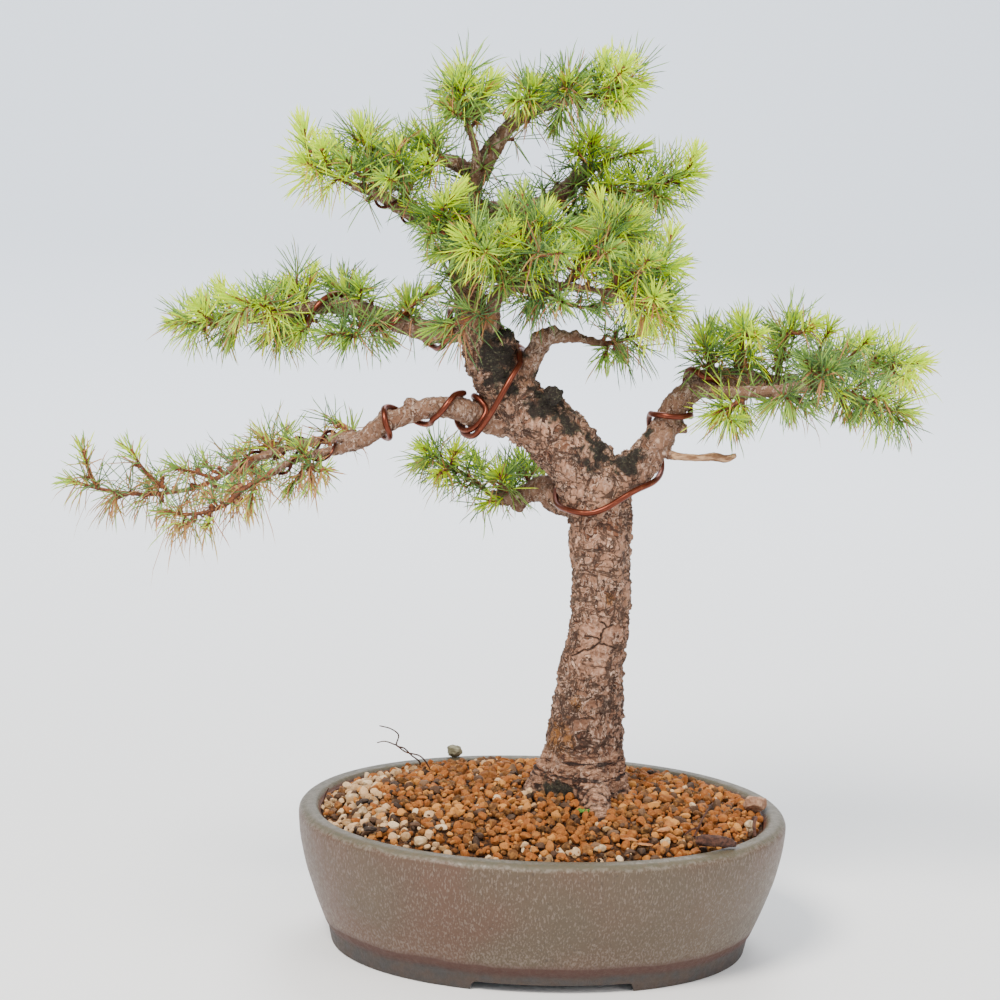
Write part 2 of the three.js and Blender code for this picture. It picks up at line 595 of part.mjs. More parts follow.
function potSolid() {
  const rim = HALF_LENGTH;
  const profile = [
    [0, FLOOR_BOTTOM], [112, FLOOR_BOTTOM], [114, 0], [124, 0], [126.5, 11], [128, 13], [134, 28],
    [140.5, 47], [144.3, 64], [rim, POT_HEIGHT - 5], [rim - 1.2, POT_HEIGHT - 1.4],
    [rim - 4, POT_HEIGHT], [rim - 9, POT_HEIGHT], [rim - 11.8, POT_HEIGHT - 1.4],
    ...INNER_WALL.slice().reverse(), [0, FLOOR_TOP],
  ];
  const notch = boxSolid([FOOT_NOTCH_LENGTH, POT_DEPTH, 2 * FOOT_NOTCH_HEIGHT], [FOOT_NOTCH_OFFSET, 0, 0]);
  const drains = [-1, 1].map((side) => roundHole(DRAIN_RADIUS, 30, side * DRAIN_OFFSET, FLOOR_TOP));
  return ovalLathe(profile).subtract(joined([notch, ...drains]));
}

// Height of the soil's top: a low dome with grains that stand out of it
function soilTop(x, y) {
  const share = Math.min(1, Math.hypot(x / HALF_LENGTH, y / (POT_DEPTH / 2)) * 1.1);
  const dome = SOIL_EDGE_HEIGHT + SOIL_DOME_RISE * (1 - share ** 3);
  const grains = Math.sin(x * 0.53 + y * 0.31) * Math.cos(y * 0.61 - x * 0.23) * GRAVEL_RELIEF;
  return dome + grains * (share > 0.95 ? 0.2 : 1);
}

function soilSolid(keepOff) {
  const inset = GAP * 1.4;
  const wall = INNER_WALL.slice(0, 5).map(([radius, height]) => [radius - inset, height]);
  wall[0][1] += SCREEN_THICKNESS + 2 * GAP;
  wall.push([INNER_WALL[5][0] - inset - 0.4, SOIL_EDGE_HEIGHT]);
  const bottom = wall[0][1];
  const rows = [120, 107, 94, 81, 68, 55, 42, 29, 15, 0].map((radius) => [radius, SOIL_EDGE_HEIGHT + 1]);
  const lift = (x, y, z) => (z > SOIL_EDGE_HEIGHT + 0.5 ? soilTop(x, y) : z);
  return largest(ovalLathe([[0, bottom], ...wall, ...rows], lift).subtract(keepOff));
}

// Plastic mesh over a drain hole: a square with a grid of holes
function screenSolid(side) {
  const x = side * DRAIN_OFFSET;
  const z = FLOOR_TOP + GAP + SCREEN_THICKNESS / 2;
  const sheet = boxSolid([SCREEN_SIZE, SCREEN_SIZE, SCREEN_THICKNESS], [x, 0, z]);
  const holes = [];
  for (const column of [-1, 1]) {
    for (const row of [-1, 1]) {
      holes.push(boxSolid([7, 7, 4], [x + column * 5, row * 5, z]));
    }
  }
  return sheet.subtract(joined(holes));
}

// A loose stone, flattened below where it lies
function stoneSolid(centre, size, turn) {
  const geometry = new THREE.IcosahedronGeometry(1, 1);
  geometry.scale(...size);
  geometry.rotateZ(turn);
  geometry.translate(...centre);
  return solid(geometry);
}

// Dry root fibres that stand out of the soil behind the left of the rim
function rootletSolid(extra = 0) {
  const stem = [[-72, 76, 82], [-72, 74, 88], [-77, 70, 93], [-82, 65, 99], [-87, 61, 102], [-86, 59, 109],
    [-91, 55, 114], [-98, 54, 116]].map(vector);
  const side = [[-87, 61, 102], [-94, 62, 104], [-99, 62, 103]].map(vector);
  const foot = [[-87, 61, 102], [-81, 60, 98], [-72, 58, 96], [-66, 58, 88], [-65, 58, 82]].map(vector);
  return joined([stem, side, foot].map((points) => tube(points, points.map(() => ROOTLET_RADIUS + extra), 3)));
}

// A chip of old bark that lies in the gravel at the front right
function chipSolid(extra = 0) {
  const points = [[84, -78, 88], [94, -79, 88.5], [106, -75, 85.5]].map(vector);
  return tube(points, CHIP_RADII.map((radius) => radius + extra), 6);
}

// Everything at its place
const wires = Object.fromEntries(Object.entries(WIRES).map(([name, wire]) => [name, wireSolid(wire)]));
const wireGrooves = joined(Object.values(WIRES).map((wire) => wireSolid(wire, GAP)));
const wood = largest(woodSolid().subtract(wireGrooves));
const woodClear = woodSolid(GAP);
const sprayClear = woodClear.add(wireGrooves);
const rimStone = stoneSolid([-49, 106, POT_HEIGHT + 4.2], [6, 4.6, 4], 0.4);
const soilClear = woodClear.add(rootletSolid(GAP)).add(chipSolid(GAP));

const PIECES = {
  pot: [potSolid(), FINISH.glazedClay],
  drain_screen_left: [screenSolid(-1), FINISH.plasticMesh],
  drain_screen_right: [screenSolid(1), FINISH.plasticMesh],
  tree: [wood, FINISH.bark],
  rim_stone: [rimStone, FINISH.stone],
  bark_chip: [chipSolid(), FINISH.deadWood],
  dry_rootlet: [rootletSolid(), FINISH.deadWood],
};
for (const [name, shape] of Object.entries(wires)) PIECES[name] = [shape, FINISH.copperWire];
for (const name of Object.keys(SPRAYS)) PIECES[`spray_${name}`] = [spraySolid(name, sprayClear), FINISH.needles];
PIECES.soil = [soilSolid(soilClear), FINISH.gravel];

const bonsai = new THREE.Group();
bonsai.name = 'european_larch_bonsai';
for (const [name, [shape, finish]] of Object.entries(PIECES)) {
  const mesh = new THREE.Mesh(geometryOf(shape), new THREE.MeshStandardMaterial(finish));
  mesh.name = name;
  bonsai.add(mesh);
}

// The origin goes to the ground under the middle of the whole part
const whole = new THREE.Box3().setFromObject(bonsai, true);
const middle = whole.getCenter(new THREE.Vector3());
bonsai.position.set(-middle.x, -middle.y, -whole.min.z);

export default bonsai;
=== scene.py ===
"""The looks of a european larch bonsai in a shallow oval glazed pot.

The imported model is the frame. Each operator below models one piece, or a group of like pieces, over
it: the glazed pot, the soil and its gravel, the barked wood, the copper wires, the twigs with their
needles, what lies on the soil, and the stage. Lengths in the tables are millimetres from the middle
of the pot on the ground, with +X along the pot's length and +Y towards its back.
"""

import math
from random import Random

import bpy
import numpy as np
from mathutils import Matrix, Vector, noise


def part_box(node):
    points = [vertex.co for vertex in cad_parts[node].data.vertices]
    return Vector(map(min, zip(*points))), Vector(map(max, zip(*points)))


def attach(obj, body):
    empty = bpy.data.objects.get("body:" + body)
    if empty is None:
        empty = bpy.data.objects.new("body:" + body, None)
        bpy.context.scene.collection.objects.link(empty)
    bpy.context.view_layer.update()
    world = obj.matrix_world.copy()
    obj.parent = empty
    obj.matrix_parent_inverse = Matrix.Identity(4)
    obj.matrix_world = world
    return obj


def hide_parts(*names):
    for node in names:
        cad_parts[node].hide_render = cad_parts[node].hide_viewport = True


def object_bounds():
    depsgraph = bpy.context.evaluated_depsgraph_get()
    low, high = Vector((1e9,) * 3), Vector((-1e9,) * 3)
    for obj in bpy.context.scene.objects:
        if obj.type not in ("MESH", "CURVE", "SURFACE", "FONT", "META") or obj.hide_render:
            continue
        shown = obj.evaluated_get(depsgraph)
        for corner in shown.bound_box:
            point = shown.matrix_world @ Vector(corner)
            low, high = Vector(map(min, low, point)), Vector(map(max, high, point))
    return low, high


bl_info = {
    "name": "European larch bonsai",
    "version": (1, 0, 0),
    "blender": (4, 5, 0),
    "location": "View3D > Sidebar > Bonsai",
    "description": "Models a larch bonsai in its pot around a fixed frame",
    "category": "Add Mesh",
}

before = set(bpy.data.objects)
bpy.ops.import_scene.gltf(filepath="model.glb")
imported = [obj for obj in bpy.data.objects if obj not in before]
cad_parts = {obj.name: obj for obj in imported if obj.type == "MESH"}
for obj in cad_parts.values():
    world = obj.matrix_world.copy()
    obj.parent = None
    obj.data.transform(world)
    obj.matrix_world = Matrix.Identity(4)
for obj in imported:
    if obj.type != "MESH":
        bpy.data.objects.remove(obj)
CAD_BOX = [list(corner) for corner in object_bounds()]

MM = 0.001
POT_LOW, POT_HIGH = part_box("pot")
POT_MIDDLE = Vector(((POT_LOW.x + POT_HIGH.x) / 2, (POT_LOW.y + POT_HIGH.y) / 2, POT_LOW.z))
POT_LENGTH = (POT_HIGH.x - POT_LOW.x) / MM
POT_DEPTH = (POT_HIGH.y - POT_LOW.y) / MM
POT_HEIGHT = (POT_HIGH.z - POT_LOW.z) / MM

# Limbs as [x, y, z, radius] along their middle line, from the root of each outwards
LIMBS = {
    "trunk": [[25, 9, 62, 27], [24, 11, 86, 29], [23, 11, 97, 28], [24, 11, 113, 24.5],
              [24, 10, 128, 22.5], [25, 8, 147, 21.2], [26, 5, 170, 19.2], [29, 3, 191, 17.8],
              [29, 2, 212, 17.4], [28, 1, 234, 17.4], [27, 0, 258, 18.6], [23, 1, 276, 20.6],
              [12, 1, 294, 19], [-6, 1, 312, 18], [-22, 1, 323, 17.4], [-35, 2, 340, 15.7],
              [-43, 2, 357, 14.5], [-50, 5, 373, 11.6], [-55, 6, 385, 9.3], [-59, 8, 402, 8.1],
              [-60, 9, 423, 7.5], [-57, 11, 443, 7], [-53, 13, 460, 6.6]],
    "root_front": [[25, -4, 106, 13], [28, -20, 97, 10.5], [30, -34, 90, 8], [33, -49, 83, 5]],
    "root_left": [[14, 8, 116, 11.5], [3, 9, 102, 9.5], [-5, 7, 92, 6.8], [-15, 3, 78, 4]],
    "root_right": [[34, 8, 103, 10], [44, 6, 92, 8], [52, 4, 83, 6], [60, 2, 74, 4]],
    "root_back": [[22, 24, 106, 12], [18, 38, 95, 8], [13, 50, 86, 5], [8, 60, 76, 3.5]],
    "low_left": [[-31, 2, 313, 8.4], [-48, -3, 319, 8.1], [-61, -9, 324, 7], [-76, -10, 324, 6.4],
                 [-90, -11, 319, 5.9], [-102, -12, 314, 6], [-113, -14, 306, 5.2]],
    "low_left_back": [[-112, -14, 306, 4.6], [-127, -13, 305, 3.6], [-140, -11, 303, 3.1],
                      [-154, -8, 299, 2.9], [-174, -4, 291, 2.6], [-192, -1, 282, 2.4]],
    "low_left_front": [[-112, -14, 305, 4.6], [-124, -21, 301, 3.5], [-139, -30, 299, 2.9],
                       [-154, -35, 295, 2.6], [-168, -39, 287, 2.4]],
    "mid_left": [[-46, 5, 373, 8.3], [-64, 8, 367, 7.7], [-77, 8, 366, 7], [-91, 7, 370, 6.4],
                 [-106, 6, 374, 5.8], [-122, 5, 379, 5.2], [-138, 4, 379, 4.6], [-155, 3, 376, 4.1],
                 [-174, 2, 372, 3.4], [-188, 2, 369, 2.8]],
    "back_left": [[17, 12, 266, 10.6], [4, 26, 267, 10.1], [-4, 34, 270, 8.9], [-14, 43, 265, 6],
                  [-25, 49, 261, 5.2], [-35, 54, 260, 4.6]],
    "right": [[24, 0, 278, 13], [45, -3, 291, 11.2], [55, -5, 303, 9.9], [62, -5, 316, 8.7],
              [68, -6, 330, 7.9], [76, -6, 338, 7.3], [84, -5, 343, 7.2]],
    "right_back": [[81, -5, 343, 7.2], [95, 3, 344, 7.2], [112, 8, 342, 7], [127, 13, 340, 5.9],
                   [142, 16, 342, 4.5]],
    "right_front": [[79, -6, 341, 5.8], [88, -17, 339, 4.6], [105, -26, 341, 3.9], [123, -35, 344, 3.8],
                    [141, -42, 348, 4.0], [151, -45, 348, 3.6]],
    "dead_stub": [[57, -9, 302, 4.2], [69, -18, 301, 2.7], [81, -21, 301, 2.4], [90, -21, 302, 2.9],
                  [96, -22, 301, 2.6], [102, -24, 304, 1.8]],
    "notch": [[-26, 3, 329, 8.2], [-21, -1, 345, 7], [-15, -3, 358, 6.2], [-9, -5, 367, 5.8],
              [-1, -4, 367, 4.2], [9, -2, 366, 3], [19, -1, 364, 2.6], [26, 1, 363, 2.3]],
    "crown_front": [[-46, -1, 362, 6.9], [-42, -12, 375, 4.9], [-41, -16, 387, 4.5], [-35, -18, 395, 3.9],
                    [-19, -23, 399, 3], [-2, -30, 400, 2.6], [17, -37, 398, 2.3], [31, -42, 396, 2]],
    "top_right": [[-53, 13, 457, 6.9], [-47, 13, 468, 6.3], [-39, 12, 480, 5.2], [-32, 12, 488, 4.6],
                  [-17, 9, 498, 4], [-4, 6, 502, 3.4], [9, 5, 505, 2.8]],
    "top_left": [[-55, 7, 446, 3.2], [-54, -1, 472, 2.7], [-60, -3, 488, 2.4], [-55, -5, 497, 2.1],
                 [-49, -5, 504, 1.8]],
    "upper_left": [[-59, 8, 421, 5.8], [-73, 4, 427, 5.2], [-88, -1, 434, 4.6], [-101, -6, 441, 4],
                   [-113, -10, 448, 3.6], [-125, -11, 451, 2.8]],
    "upper_right": [[-57, 12, 439, 5.4], [-35, 26, 436, 5.3], [-14, 33, 439, 5.3], [1, 38, 448, 5.2],
                    [10, 39, 457, 5], [16, 41, 463, 4]],
    "grey_stub": [[-55, 13, 459, 4.8], [-66, 8, 464, 4.5], [-73, 4, 466, 3.4]],
}

# Knobs of callus and cut branch stumps as [x, y, z, radius]
KNOBS = [[-5, -14, 334, 6], [58, -12, 309, 7], [71, -10, 316, 4], [-87, -10, 326, 4.6],
         [-19, 44, 258, 5], [76, -2, 347, 5], [-32, -6, 366, 5], [-28, 4, 360, 4], [22, -16, 268, 7],
         [0, 30, 262, 6], [-101, -11, 318, 5], [-16, -7, 366, 4],
         [-6, -7, 371, 3.4], [7, -3, 369, 2.6], [62, -14, 313, 5], [47, -12, 301, 5]]

# Sprays by the part of the tree that they belong to: a twig's middle line from the limb it grows on,
# the ends of its side shoots, how fresh its needles are, from old dark ones to new lime ones, and for a
# sparse one the share of the usual growth. A side shoot whose own needles are less fresh has that as a
# fourth number
SPRAYS = {
    "low_left": {
        "far": ([[-187, -2, 284], [-208, 0, 272], [-230, 1, 267], [-244, 2, 266], [-264, 3, 268],
                 [-281, 3, 272]],
                [[-275, -5, 292], [-248, -6, 293], [-238, 25, 271], [-221, -14, 285], [-206, 14, 284],
                 [-260, 21, 258]], 0.3),
        "front": ([[-164, -39, 290], [-183, -42, 278], [-190, -43, 271], [-200, -47, 267],
                   [-211, -48, 265], [-225, -50, 266]],
                  [[-218, -34, 255], [-201, -57, 261], [-177, -54, 273], [-190, -25, 275]], 0.3),
        "mid": ([[-165, -6, 294], [-172, -2, 302]], [[-186, 18, 291], [-159, 13, 303]], 0.45),
        "near": ([[-118, -13, 306], [-129, -3, 312]], [[-120, 13, 306]], 0.3),
        "under": ([[-146, -33, 297], [-143, -42, 284]],
                  [[-156, -27, 277], [-135, -55, 294], [-150, -40, 304]], 0.25),
        "back": ([[-179, -3, 288], [-187, 32, 274]], [[-206, 38, 261], [-173, 42, 274]], 0.35),
    },
    "mid_left": {
        "far": ([[-182, 2, 370], [-201, 3, 367], [-224, 4, 367]],
                [[-210, -16, 378], [-197, -3, 387], [-192, -1, 361, 0.2], [-208, 26, 377, 0.4]], 0.72),
        "front": ([[-161, 2, 374], [-176, -26, 383]], [[-186, -36, 379, 0.4], [-189, -17, 385]], 0.7),
        "top": ([[-147, 3, 378], [-158, 5, 390]], [[-167, 27, 385, 0.3], [-146, 12, 396]], 0.6),
        "mid": ([[-118, 6, 378], [-133, 27, 389]], [[-118, -5, 392, 0.3], [-122, 47, 378, 0.2]], 0.5),
        "near": ([[-87, 7, 369], [-91, 4, 384]], [[-79, -4, 390], [-99, 30, 370]], 0.3),
        "under": ([[-144, 4, 378], [-170, 15, 360]], [[-152, -14, 366], [-161, 39, 357]], 0.3),
        "low": ([[-109, 6, 375], [-124, -15, 363]], [[-136, -24, 367], [-102, 16, 361]], 0.2),
    },
    "right": {
        "near": ([[91, 1, 344], [80, -10, 369]], [[89, 13, 371]], 0.5),
        "plume": ([[107, 6, 343], [103, -6, 378]], [[110, -26, 375], [104, 22, 360, 0.3]], 0.75),
        "top": ([[127, 13, 340], [134, 3, 379]], [[128, 29, 367, 0.3], [144, -16, 380]], 0.65),
        "far": ([[140, 15, 341], [157, 17, 348], [172, 16, 352], [192, 9, 355], [209, 3, 357]],
                [[153, -13, 377, 0.4], [175, -16, 372], [173, 36, 361, 0.3], [198, -21, 351], [197, 29, 360]],
                0.75),
        "star": ([[137, -41, 349], [146, -68, 362]], [[133, -62, 366]], 0.0),
        "low_far": ([[148, -45, 348], [168, -51, 344], [181, -54, 339], [193, -57, 337]],
                    [[164, -39, 332, 0.2], [176, -72, 348, 0.3], [175, -24, 335]], 0.6),
        "under": ([[106, -24, 338], [90, -29, 329]], [[107, -12, 325, 0.2], [97, -40, 326, 0.3]], 0.5),
        "low_mid": ([[126, -36, 346], [128, -45, 336]], [[145, -24, 336], [119, -23, 334]], 0.2),
    },
    "crown": {
        "left": ([[-59, 8, 414], [-69, -10, 430], [-74, -16, 440]],
                 [[-67, -24, 449], [-89, -5, 440], [-80, -32, 427, 0.2]], 0.75),
        "front": ([[-38, -17, 392], [-40, -32, 411], [-61, -43, 427]],
                  [[-74, -26, 416, 0.2], [-35, -38, 430], [-49, -59, 422, 0.3], [-46, -22, 408, 0.1]], 0.75),
        "mid": ([[-26, -21, 397], [-25, -33, 417], [-15, -35, 440]],
                [[-20, -7, 424, 0.1], [-6, -66, 423, 0.2], [2, -46, 435, 0.3], [-36, -22, 444, 0.3],
                 [-27, -8, 450, 0.3]], 0.7),
        "right": ([[-2, -30, 400], [12, -35, 421], [37, -18, 438]],
                  [[17, -23, 446], [49, 9, 427, 0.4], [21, -63, 425, 0.2], [8, -14, 412, 0.1]], 0.7),
        "far": ([[20, -38, 398], [40, -38, 408], [59, -37, 414]],
                [[58, -21, 429], [42, -64, 421, 0.5], [44, -10, 399, 0.3]], 0.85),
        "low_far": ([[29, -41, 396], [42, -46, 393], [58, -44, 390]],
                    [[42, -26, 381, 0.3], [46, -69, 400, 0.6]], 0.85),
        "small": ([[-42, -14, 383], [-58, -23, 377], [-73, -24, 373]], [], 0.2, 0.3),
        "under": ([[-13, -25, 399], [-18, -13, 388]],
                  [[-5, -50, 393], [18, -17, 386], [-33, 2, 398]], 0.1),
        "back": ([[-26, 28, 437], [-23, 49, 416], [-8, 57, 403]],
                 [[-35, 46, 403], [19, 61, 410], [-46, 55, 422]], 0.4),
        "back_right": ([[-8, 35, 442], [17, 47, 427], [46, 33, 410]],
                       [[26, 71, 411], [41, 60, 422], [29, 12, 396]], 0.4),
    },
    "notch": {
        "": ([[23, 0, 363], [34, 0, 365], [45, -3, 370]], [[24, -11, 357], [36, 16, 357]], 0.35),
    },
    "top": {
        "left": ([[-58, -2, 483], [-63, -4, 499], [-67, -8, 513]],
                 [[-72, -20, 498, 0.3], [-53, 17, 493, 0.2], [-48, -7, 510]], 0.75),
        "mid": ([[-24, 10, 493], [-22, -3, 509]], [[-34, -22, 503, 0.3], [-12, 27, 505, 0.4]], 0.65),
        "right": ([[-5, 6, 501], [-4, -8, 514]], [[7, 24, 510, 0.2], [-8, 8, 490, 0.1]], 0.5),
        "far": ([[6, 5, 504], [19, 3, 509], [34, 2, 513]],
                [[17, -1, 524], [28, -20, 524], [27, -16, 503], [24, 29, 508, 0.2]], 0.7),
    },
    "left_top": {
        "far": ([[-121, -10, 450], [-140, -12, 458], [-151, -16, 463]],
                [[-153, -17, 482], [-142, -30, 473], [-135, 6, 472, 0.3]], 0.8),
        "mid": ([[-108, -8, 445], [-120, -7, 482]], [[-129, -29, 467, 0.3], [-110, 18, 468, 0.2]], 0.8),
        "near": ([[-92, -3, 436], [-100, -14, 472]], [[-90, 11, 460, 0.3], [-105, -36, 458, 0.3]], 0.55),
        "stub": ([[-71, 5, 465], [-86, 1, 478]], [[-76, 24, 477, 0.3], [-83, -13, 466]], 0.65),
    },
    "right_top": {
        "up": ([[14, 40, 460], [16, 37, 478]], [[29, 54, 471, 0.3], [5, 22, 473, 0.4], [42, 30, 473]], 0.7),
        "far": ([[5, 38, 453], [27, 27, 449], [49, 19, 452], [71, 10, 462]],
                [[72, 6, 473], [45, 36, 442, 0.1], [54, -3, 449, 0.1]], 0.75),
    },
    "back_left": {
        "far": ([[-33, 54, 260], [-48, 55, 271], [-64, 52, 281], [-77, 48, 290]],
                [[-79, 67, 278], [-58, 41, 290], [-68, 34, 277]], 0.6),
        "up": ([[-24, 49, 261], [-32, 40, 277]], [[-44, 71, 279], [-37, 44, 259]], 0.55),
        "near": ([[-11, 41, 266], [-17, 63, 280]], [[-3, 78, 274], [-22, 85, 266]], 0.5),
    },
}

# Stretches of limb that carry tufts of their own, as (first place, last place), their freshness, and
# how far apart they sit compared with those on a twig
TUFTED = {
    "low_left": {"low_left_back": (1.4, 5, 0.3, 1.15), "low_left_front": (1.2, 4, 0.3, 1.15)},
    "mid_left": {"mid_left": (3.6, 9, 0.4, 1.15)},
    "right": {"right_back": (1.4, 4, 0.4, 1.15), "right_front": (2.8, 5, 0.3, 1.15)},
    "crown": {"crown_front": (2.4, 7, 0.3, 0.9), "trunk": (17.0, 22, 0.3, 0.3)},
    "notch": {"notch": (6.2, 7, 0.3, 1.15)},
    "top": {"top_right": (1.0, 6, 0.3, 1.0), "top_left": (1.6, 4, 0.6, 1.15)},
    "left_top": {"upper_left": (2, 5, 0.4, 1.15)},
    "right_top": {"upper_right": (0.6, 5, 0.3, 0.6)},
    "back_left": {"back_left": (3.6, 5, 0.3, 1.15)},
}
# The share of each part's needles that are dry, how full its growth is, the distance between the short
# shoots that fill in along its twigs, and how much its needles curl
FULLNESS = {"low_left": (0.48, 0.7, 11, 1.7), "mid_left": (0.14, 1.05, 4.2, 1.0),
            "right": (0.14, 1.08, 4, 1.0), "crown": (0.13, 1.08, 2.5, 1.0), "notch": (0.12, 0.95, 5, 1.2),
            "top": (0.14, 1.2, 2.6, 1.0), "left_top": (0.14, 1.1, 3.2, 1.0),
            "right_top": (0.12, 1.1, 3, 1.0), "back_left": (0.12, 0.95, 5, 1.2)}

# Wires: the limb that each is wound on, with knots of [place along the limb, turns round it], where no
# turn is the top of the limb, and the open stretches between as places
THICK_WIRE = 1.8
THIN_WIRE = 0.9
RIGHT_WIRED = LIMBS["right"][2:] + LIMBS["right_back"][1:]
WIRES = {
    "wire_left_pair": (THICK_WIRE, [
        (LIMBS["mid_left"], [[7.3, -2.9], [6.4, -2.25], [3.5, -1.25], [1.1, -0.25], [0.6, 0.1]]),
        [[-47, 24, 366], [-35, 24, 361], [-24, 19, 357], [-21, 6, 355], [-25, -11, 351], [-31, -18, 342],
         [-38, -20, 329], [-44, -19, 318], [-50, -14, 309], [-56, -2, 309], [-54, 7, 316], [-47, 6, 325]],
        (LIMBS["low_left"], [[0.85, 0], [1.85, -1], [4.75, -2], [5.3, -2.6]])]),
    "wire_right": (THICK_WIRE, [
        [[7, 14, 275], [6, 2, 271], [9, -10, 268], [19, -18, 267], [27, -21, 270], [36, -20, 275],
         [45, -17, 280], [56, -6, 285], [62, 6, 289], [61, 12, 297], [55, 10, 308]],
        (RIGHT_WIRED, [[1.15, 0], [2, 0.5], [3.6, 1], [4.6, 1.5], [6.2, 2], [7.3, 2.7]])]),
    "wire_low_left_back": (THIN_WIRE, [(LIMBS["low_left_back"], [[1.2, 0.2], [4.7, -2.4]])]),
    "wire_low_left_front": (THIN_WIRE, [(LIMBS["low_left_front"], [[1.2, 0.1], [3.6, -1.6]])]),
    "wire_upper_left": (THIN_WIRE, [(LIMBS["upper_left"], [[1.3, 0.2], [4.4, -2.3]])]),
}
# A wire's skin lies so far off its limb, and a share of the limb's radius more, over the bark's relief
WIRE_LIFT = 0.35
WIRE_LIFT_SHARE = 0.05
WIRE_STEPS_PER_TURN = 16

# Patches of bark as [x, y, z, radius]: where moss grows, where plates have fallen and show rust red, and
# where the bark is still whole
MOSS = [[-37, -20, 358, 19], [-36, -18, 344, 13], [-6, -18, 332, 16], [9, -17, 322, 13], [25, -18, 305, 15],
        [38, -15, 298, 12], [9, -12, 90, 13], [-2, -8, 96, 9], [53, -8, 311, 5], [-14, 8, 340, 13],
        [-50, 12, 372, 10]]
RUST = [[4, -6, 126, 14], [5, -12, 114, 13], [15, -12, 150, 6], [33, -14, 214, 4], [-42, -10, 366, 9],
        [-44, -14, 378, 8]]
WHOLE = [[28, -17, 191, 12], [21, -16, 181, 8]]
# Open cracks on the front of the trunk as lines of [x, z], how far round them its mesh is finer, and how
# wide and deep they are
CRACKS = [[[12, 178], [15, 179.5], [19, 182.5], [22, 183], [25.5, 186.5], [28.5, 188]],
          [[28.5, 188], [29.5, 191], [28.8, 194], [32.5, 197.5], [30.5, 200], [28, 200.5]],
          [[28.5, 188], [32, 186.2], [36, 185.6], [39, 184]], [[32.5, 197.5], [36, 198]],
          [[28, 189.6], [24, 191.2], [20, 191.6]]]
CRACK_MARGIN = 3
CRACK_WIDTH = 0.42
CRACK_DEPTH = 2.2
# The foot's ridges start below this height. Rings round the limbs and folds across the roots are so far
# apart
FOOT_TOP = 125
LIMB_RING = 3.6
ROOT_FOLD = 5
# The bark's mesh keeps this share of its faces
BARK_FACES_KEPT = 0.62

# The pot's form. The outer wall is [radius, height, rounding] from the floor's underside to the lip
OUTER_WALL = [[112, 6, 1.2], [114, 0, 1], [124, 0, 1.2], [126.4, 11.2, 0.8], [128.4, 14, 2],
              [134, 28, 4], [140.5, 47, 5], [144.3, 64, 5], [145.4, 75, 2], [145.5, 79.8, 2],
              [142, 83, 1.8], [135.4, 83, 1.8], [133.2, 79.6, 0.4]]
OVAL_POWER = 2.08
OVAL_FLAT = 100
FLOOR_BOTTOM = 6
FLOOR_TOP = 13
FOOT_NOTCH_LENGTH = 97
FOOT_NOTCH_HEIGHT = 5.5
FOOT_NOTCH_OFFSET = 3
DRAIN_RADIUS = 11
DRAIN_OFFSET = 58
SCREEN_SIZE = 34
SCREEN_STRANDS = 12
SCREEN_THICKNESS = 0.95
WALL_WOBBLE = 0.35
INNER_WALL = [[108, FLOOR_TOP], [116, 19], [122.5, 34], [127.5, 52], [131, 70], [132.4, 79]]
SOIL_EDGE_HEIGHT = 79.5
SOIL_DOME_RISE = 14.5
# The bed of soil lies this far under the dome of grains, inside the wall and over the floor, and its
# crumbs rise this far. Its mesh has so many steps round it and rings across its top
BED_DROP = 2.6
BED_INSET = 0.5
BED_LIFT = 1.8
BED_CRUMBS = 0.9
BED_STEPS = 160
BED_RINGS = 60
# Layers of grains as [grains thrown, lift over the dome, share of their usual size]
GRAIN_LAYERS = [[3000, -2.6, 0.95], [6200, 0.1, 1.0], [2600, 0.2, 0.55]]
GRAIN_SHAPES = 7
# Flats cut a stone's ball back to this share of its radius or less
NEAREST_FLAT = 0.55


def linear(code, alpha=1.0):
    """An sRGB hex colour as linear red, green, blue and alpha."""
    values = [int(code[i:i + 2], 16) / 255 for i in (1, 3, 5)]
    return [v / 12.92 if v <= 0.04045 else ((v + 0.055) / 1.055) ** 2.4 for v in values] + [alpha]


def colour(name, description, code):
    """A colour that the sidebar shows."""
    return bpy.props.FloatVectorProperty(name=name, description=description, subtype="COLOR", size=4,
                                         min=0, max=1, default=linear(code))


def length(name, description, millimetres):
    """A length that the sidebar shows."""
    return bpy.props.FloatProperty(name=name, description=description, subtype="DISTANCE",
                                   unit="LENGTH", precision=5, default=millimetres * MM)


class BonsaiPotSettings(bpy.types.PropertyGroup):
    wall: colour("Wall", "Colour of the glaze on the wall", "#513727")
    rim: colour("Rim", "Colour of the thicker glaze on the lip", "#554b39")
    speck: colour("Specks", "Colour of the fine specks in the glaze", "#817266")
    iron: colour("Iron band", "Colour of the clay where the glaze ends", "#43281f")
    foot: colour("Foot", "Colour of the bare fired clay", "#3e322b")
    inside: colour("Inside", "Colour of the inner wall", "#40241a")
    glaze_end: length("Glaze end", "Height at which the glaze ends", 17)
    steps: bpy.props.IntProperty(name="Steps", description="Steps round the pot", default=192, min=32)


class BonsaiSoilSettings(bpy.types.PropertyGroup):
    bed: colour("Bed", "Colour of the damp soil under the stones", "#201107")
    clay: colour("Baked clay", "Colour of most grains", "#874a13")
    pale: colour("Pumice", "Colour of the pale grains", "#c29d73")
    dark: colour("Lava", "Colour of the dark grains", "#483120")
    smallest: length("Smallest grain", "Width of the smallest grains", 3.0)
    largest: length("Largest grain", "Width of the largest grains", 7.0)


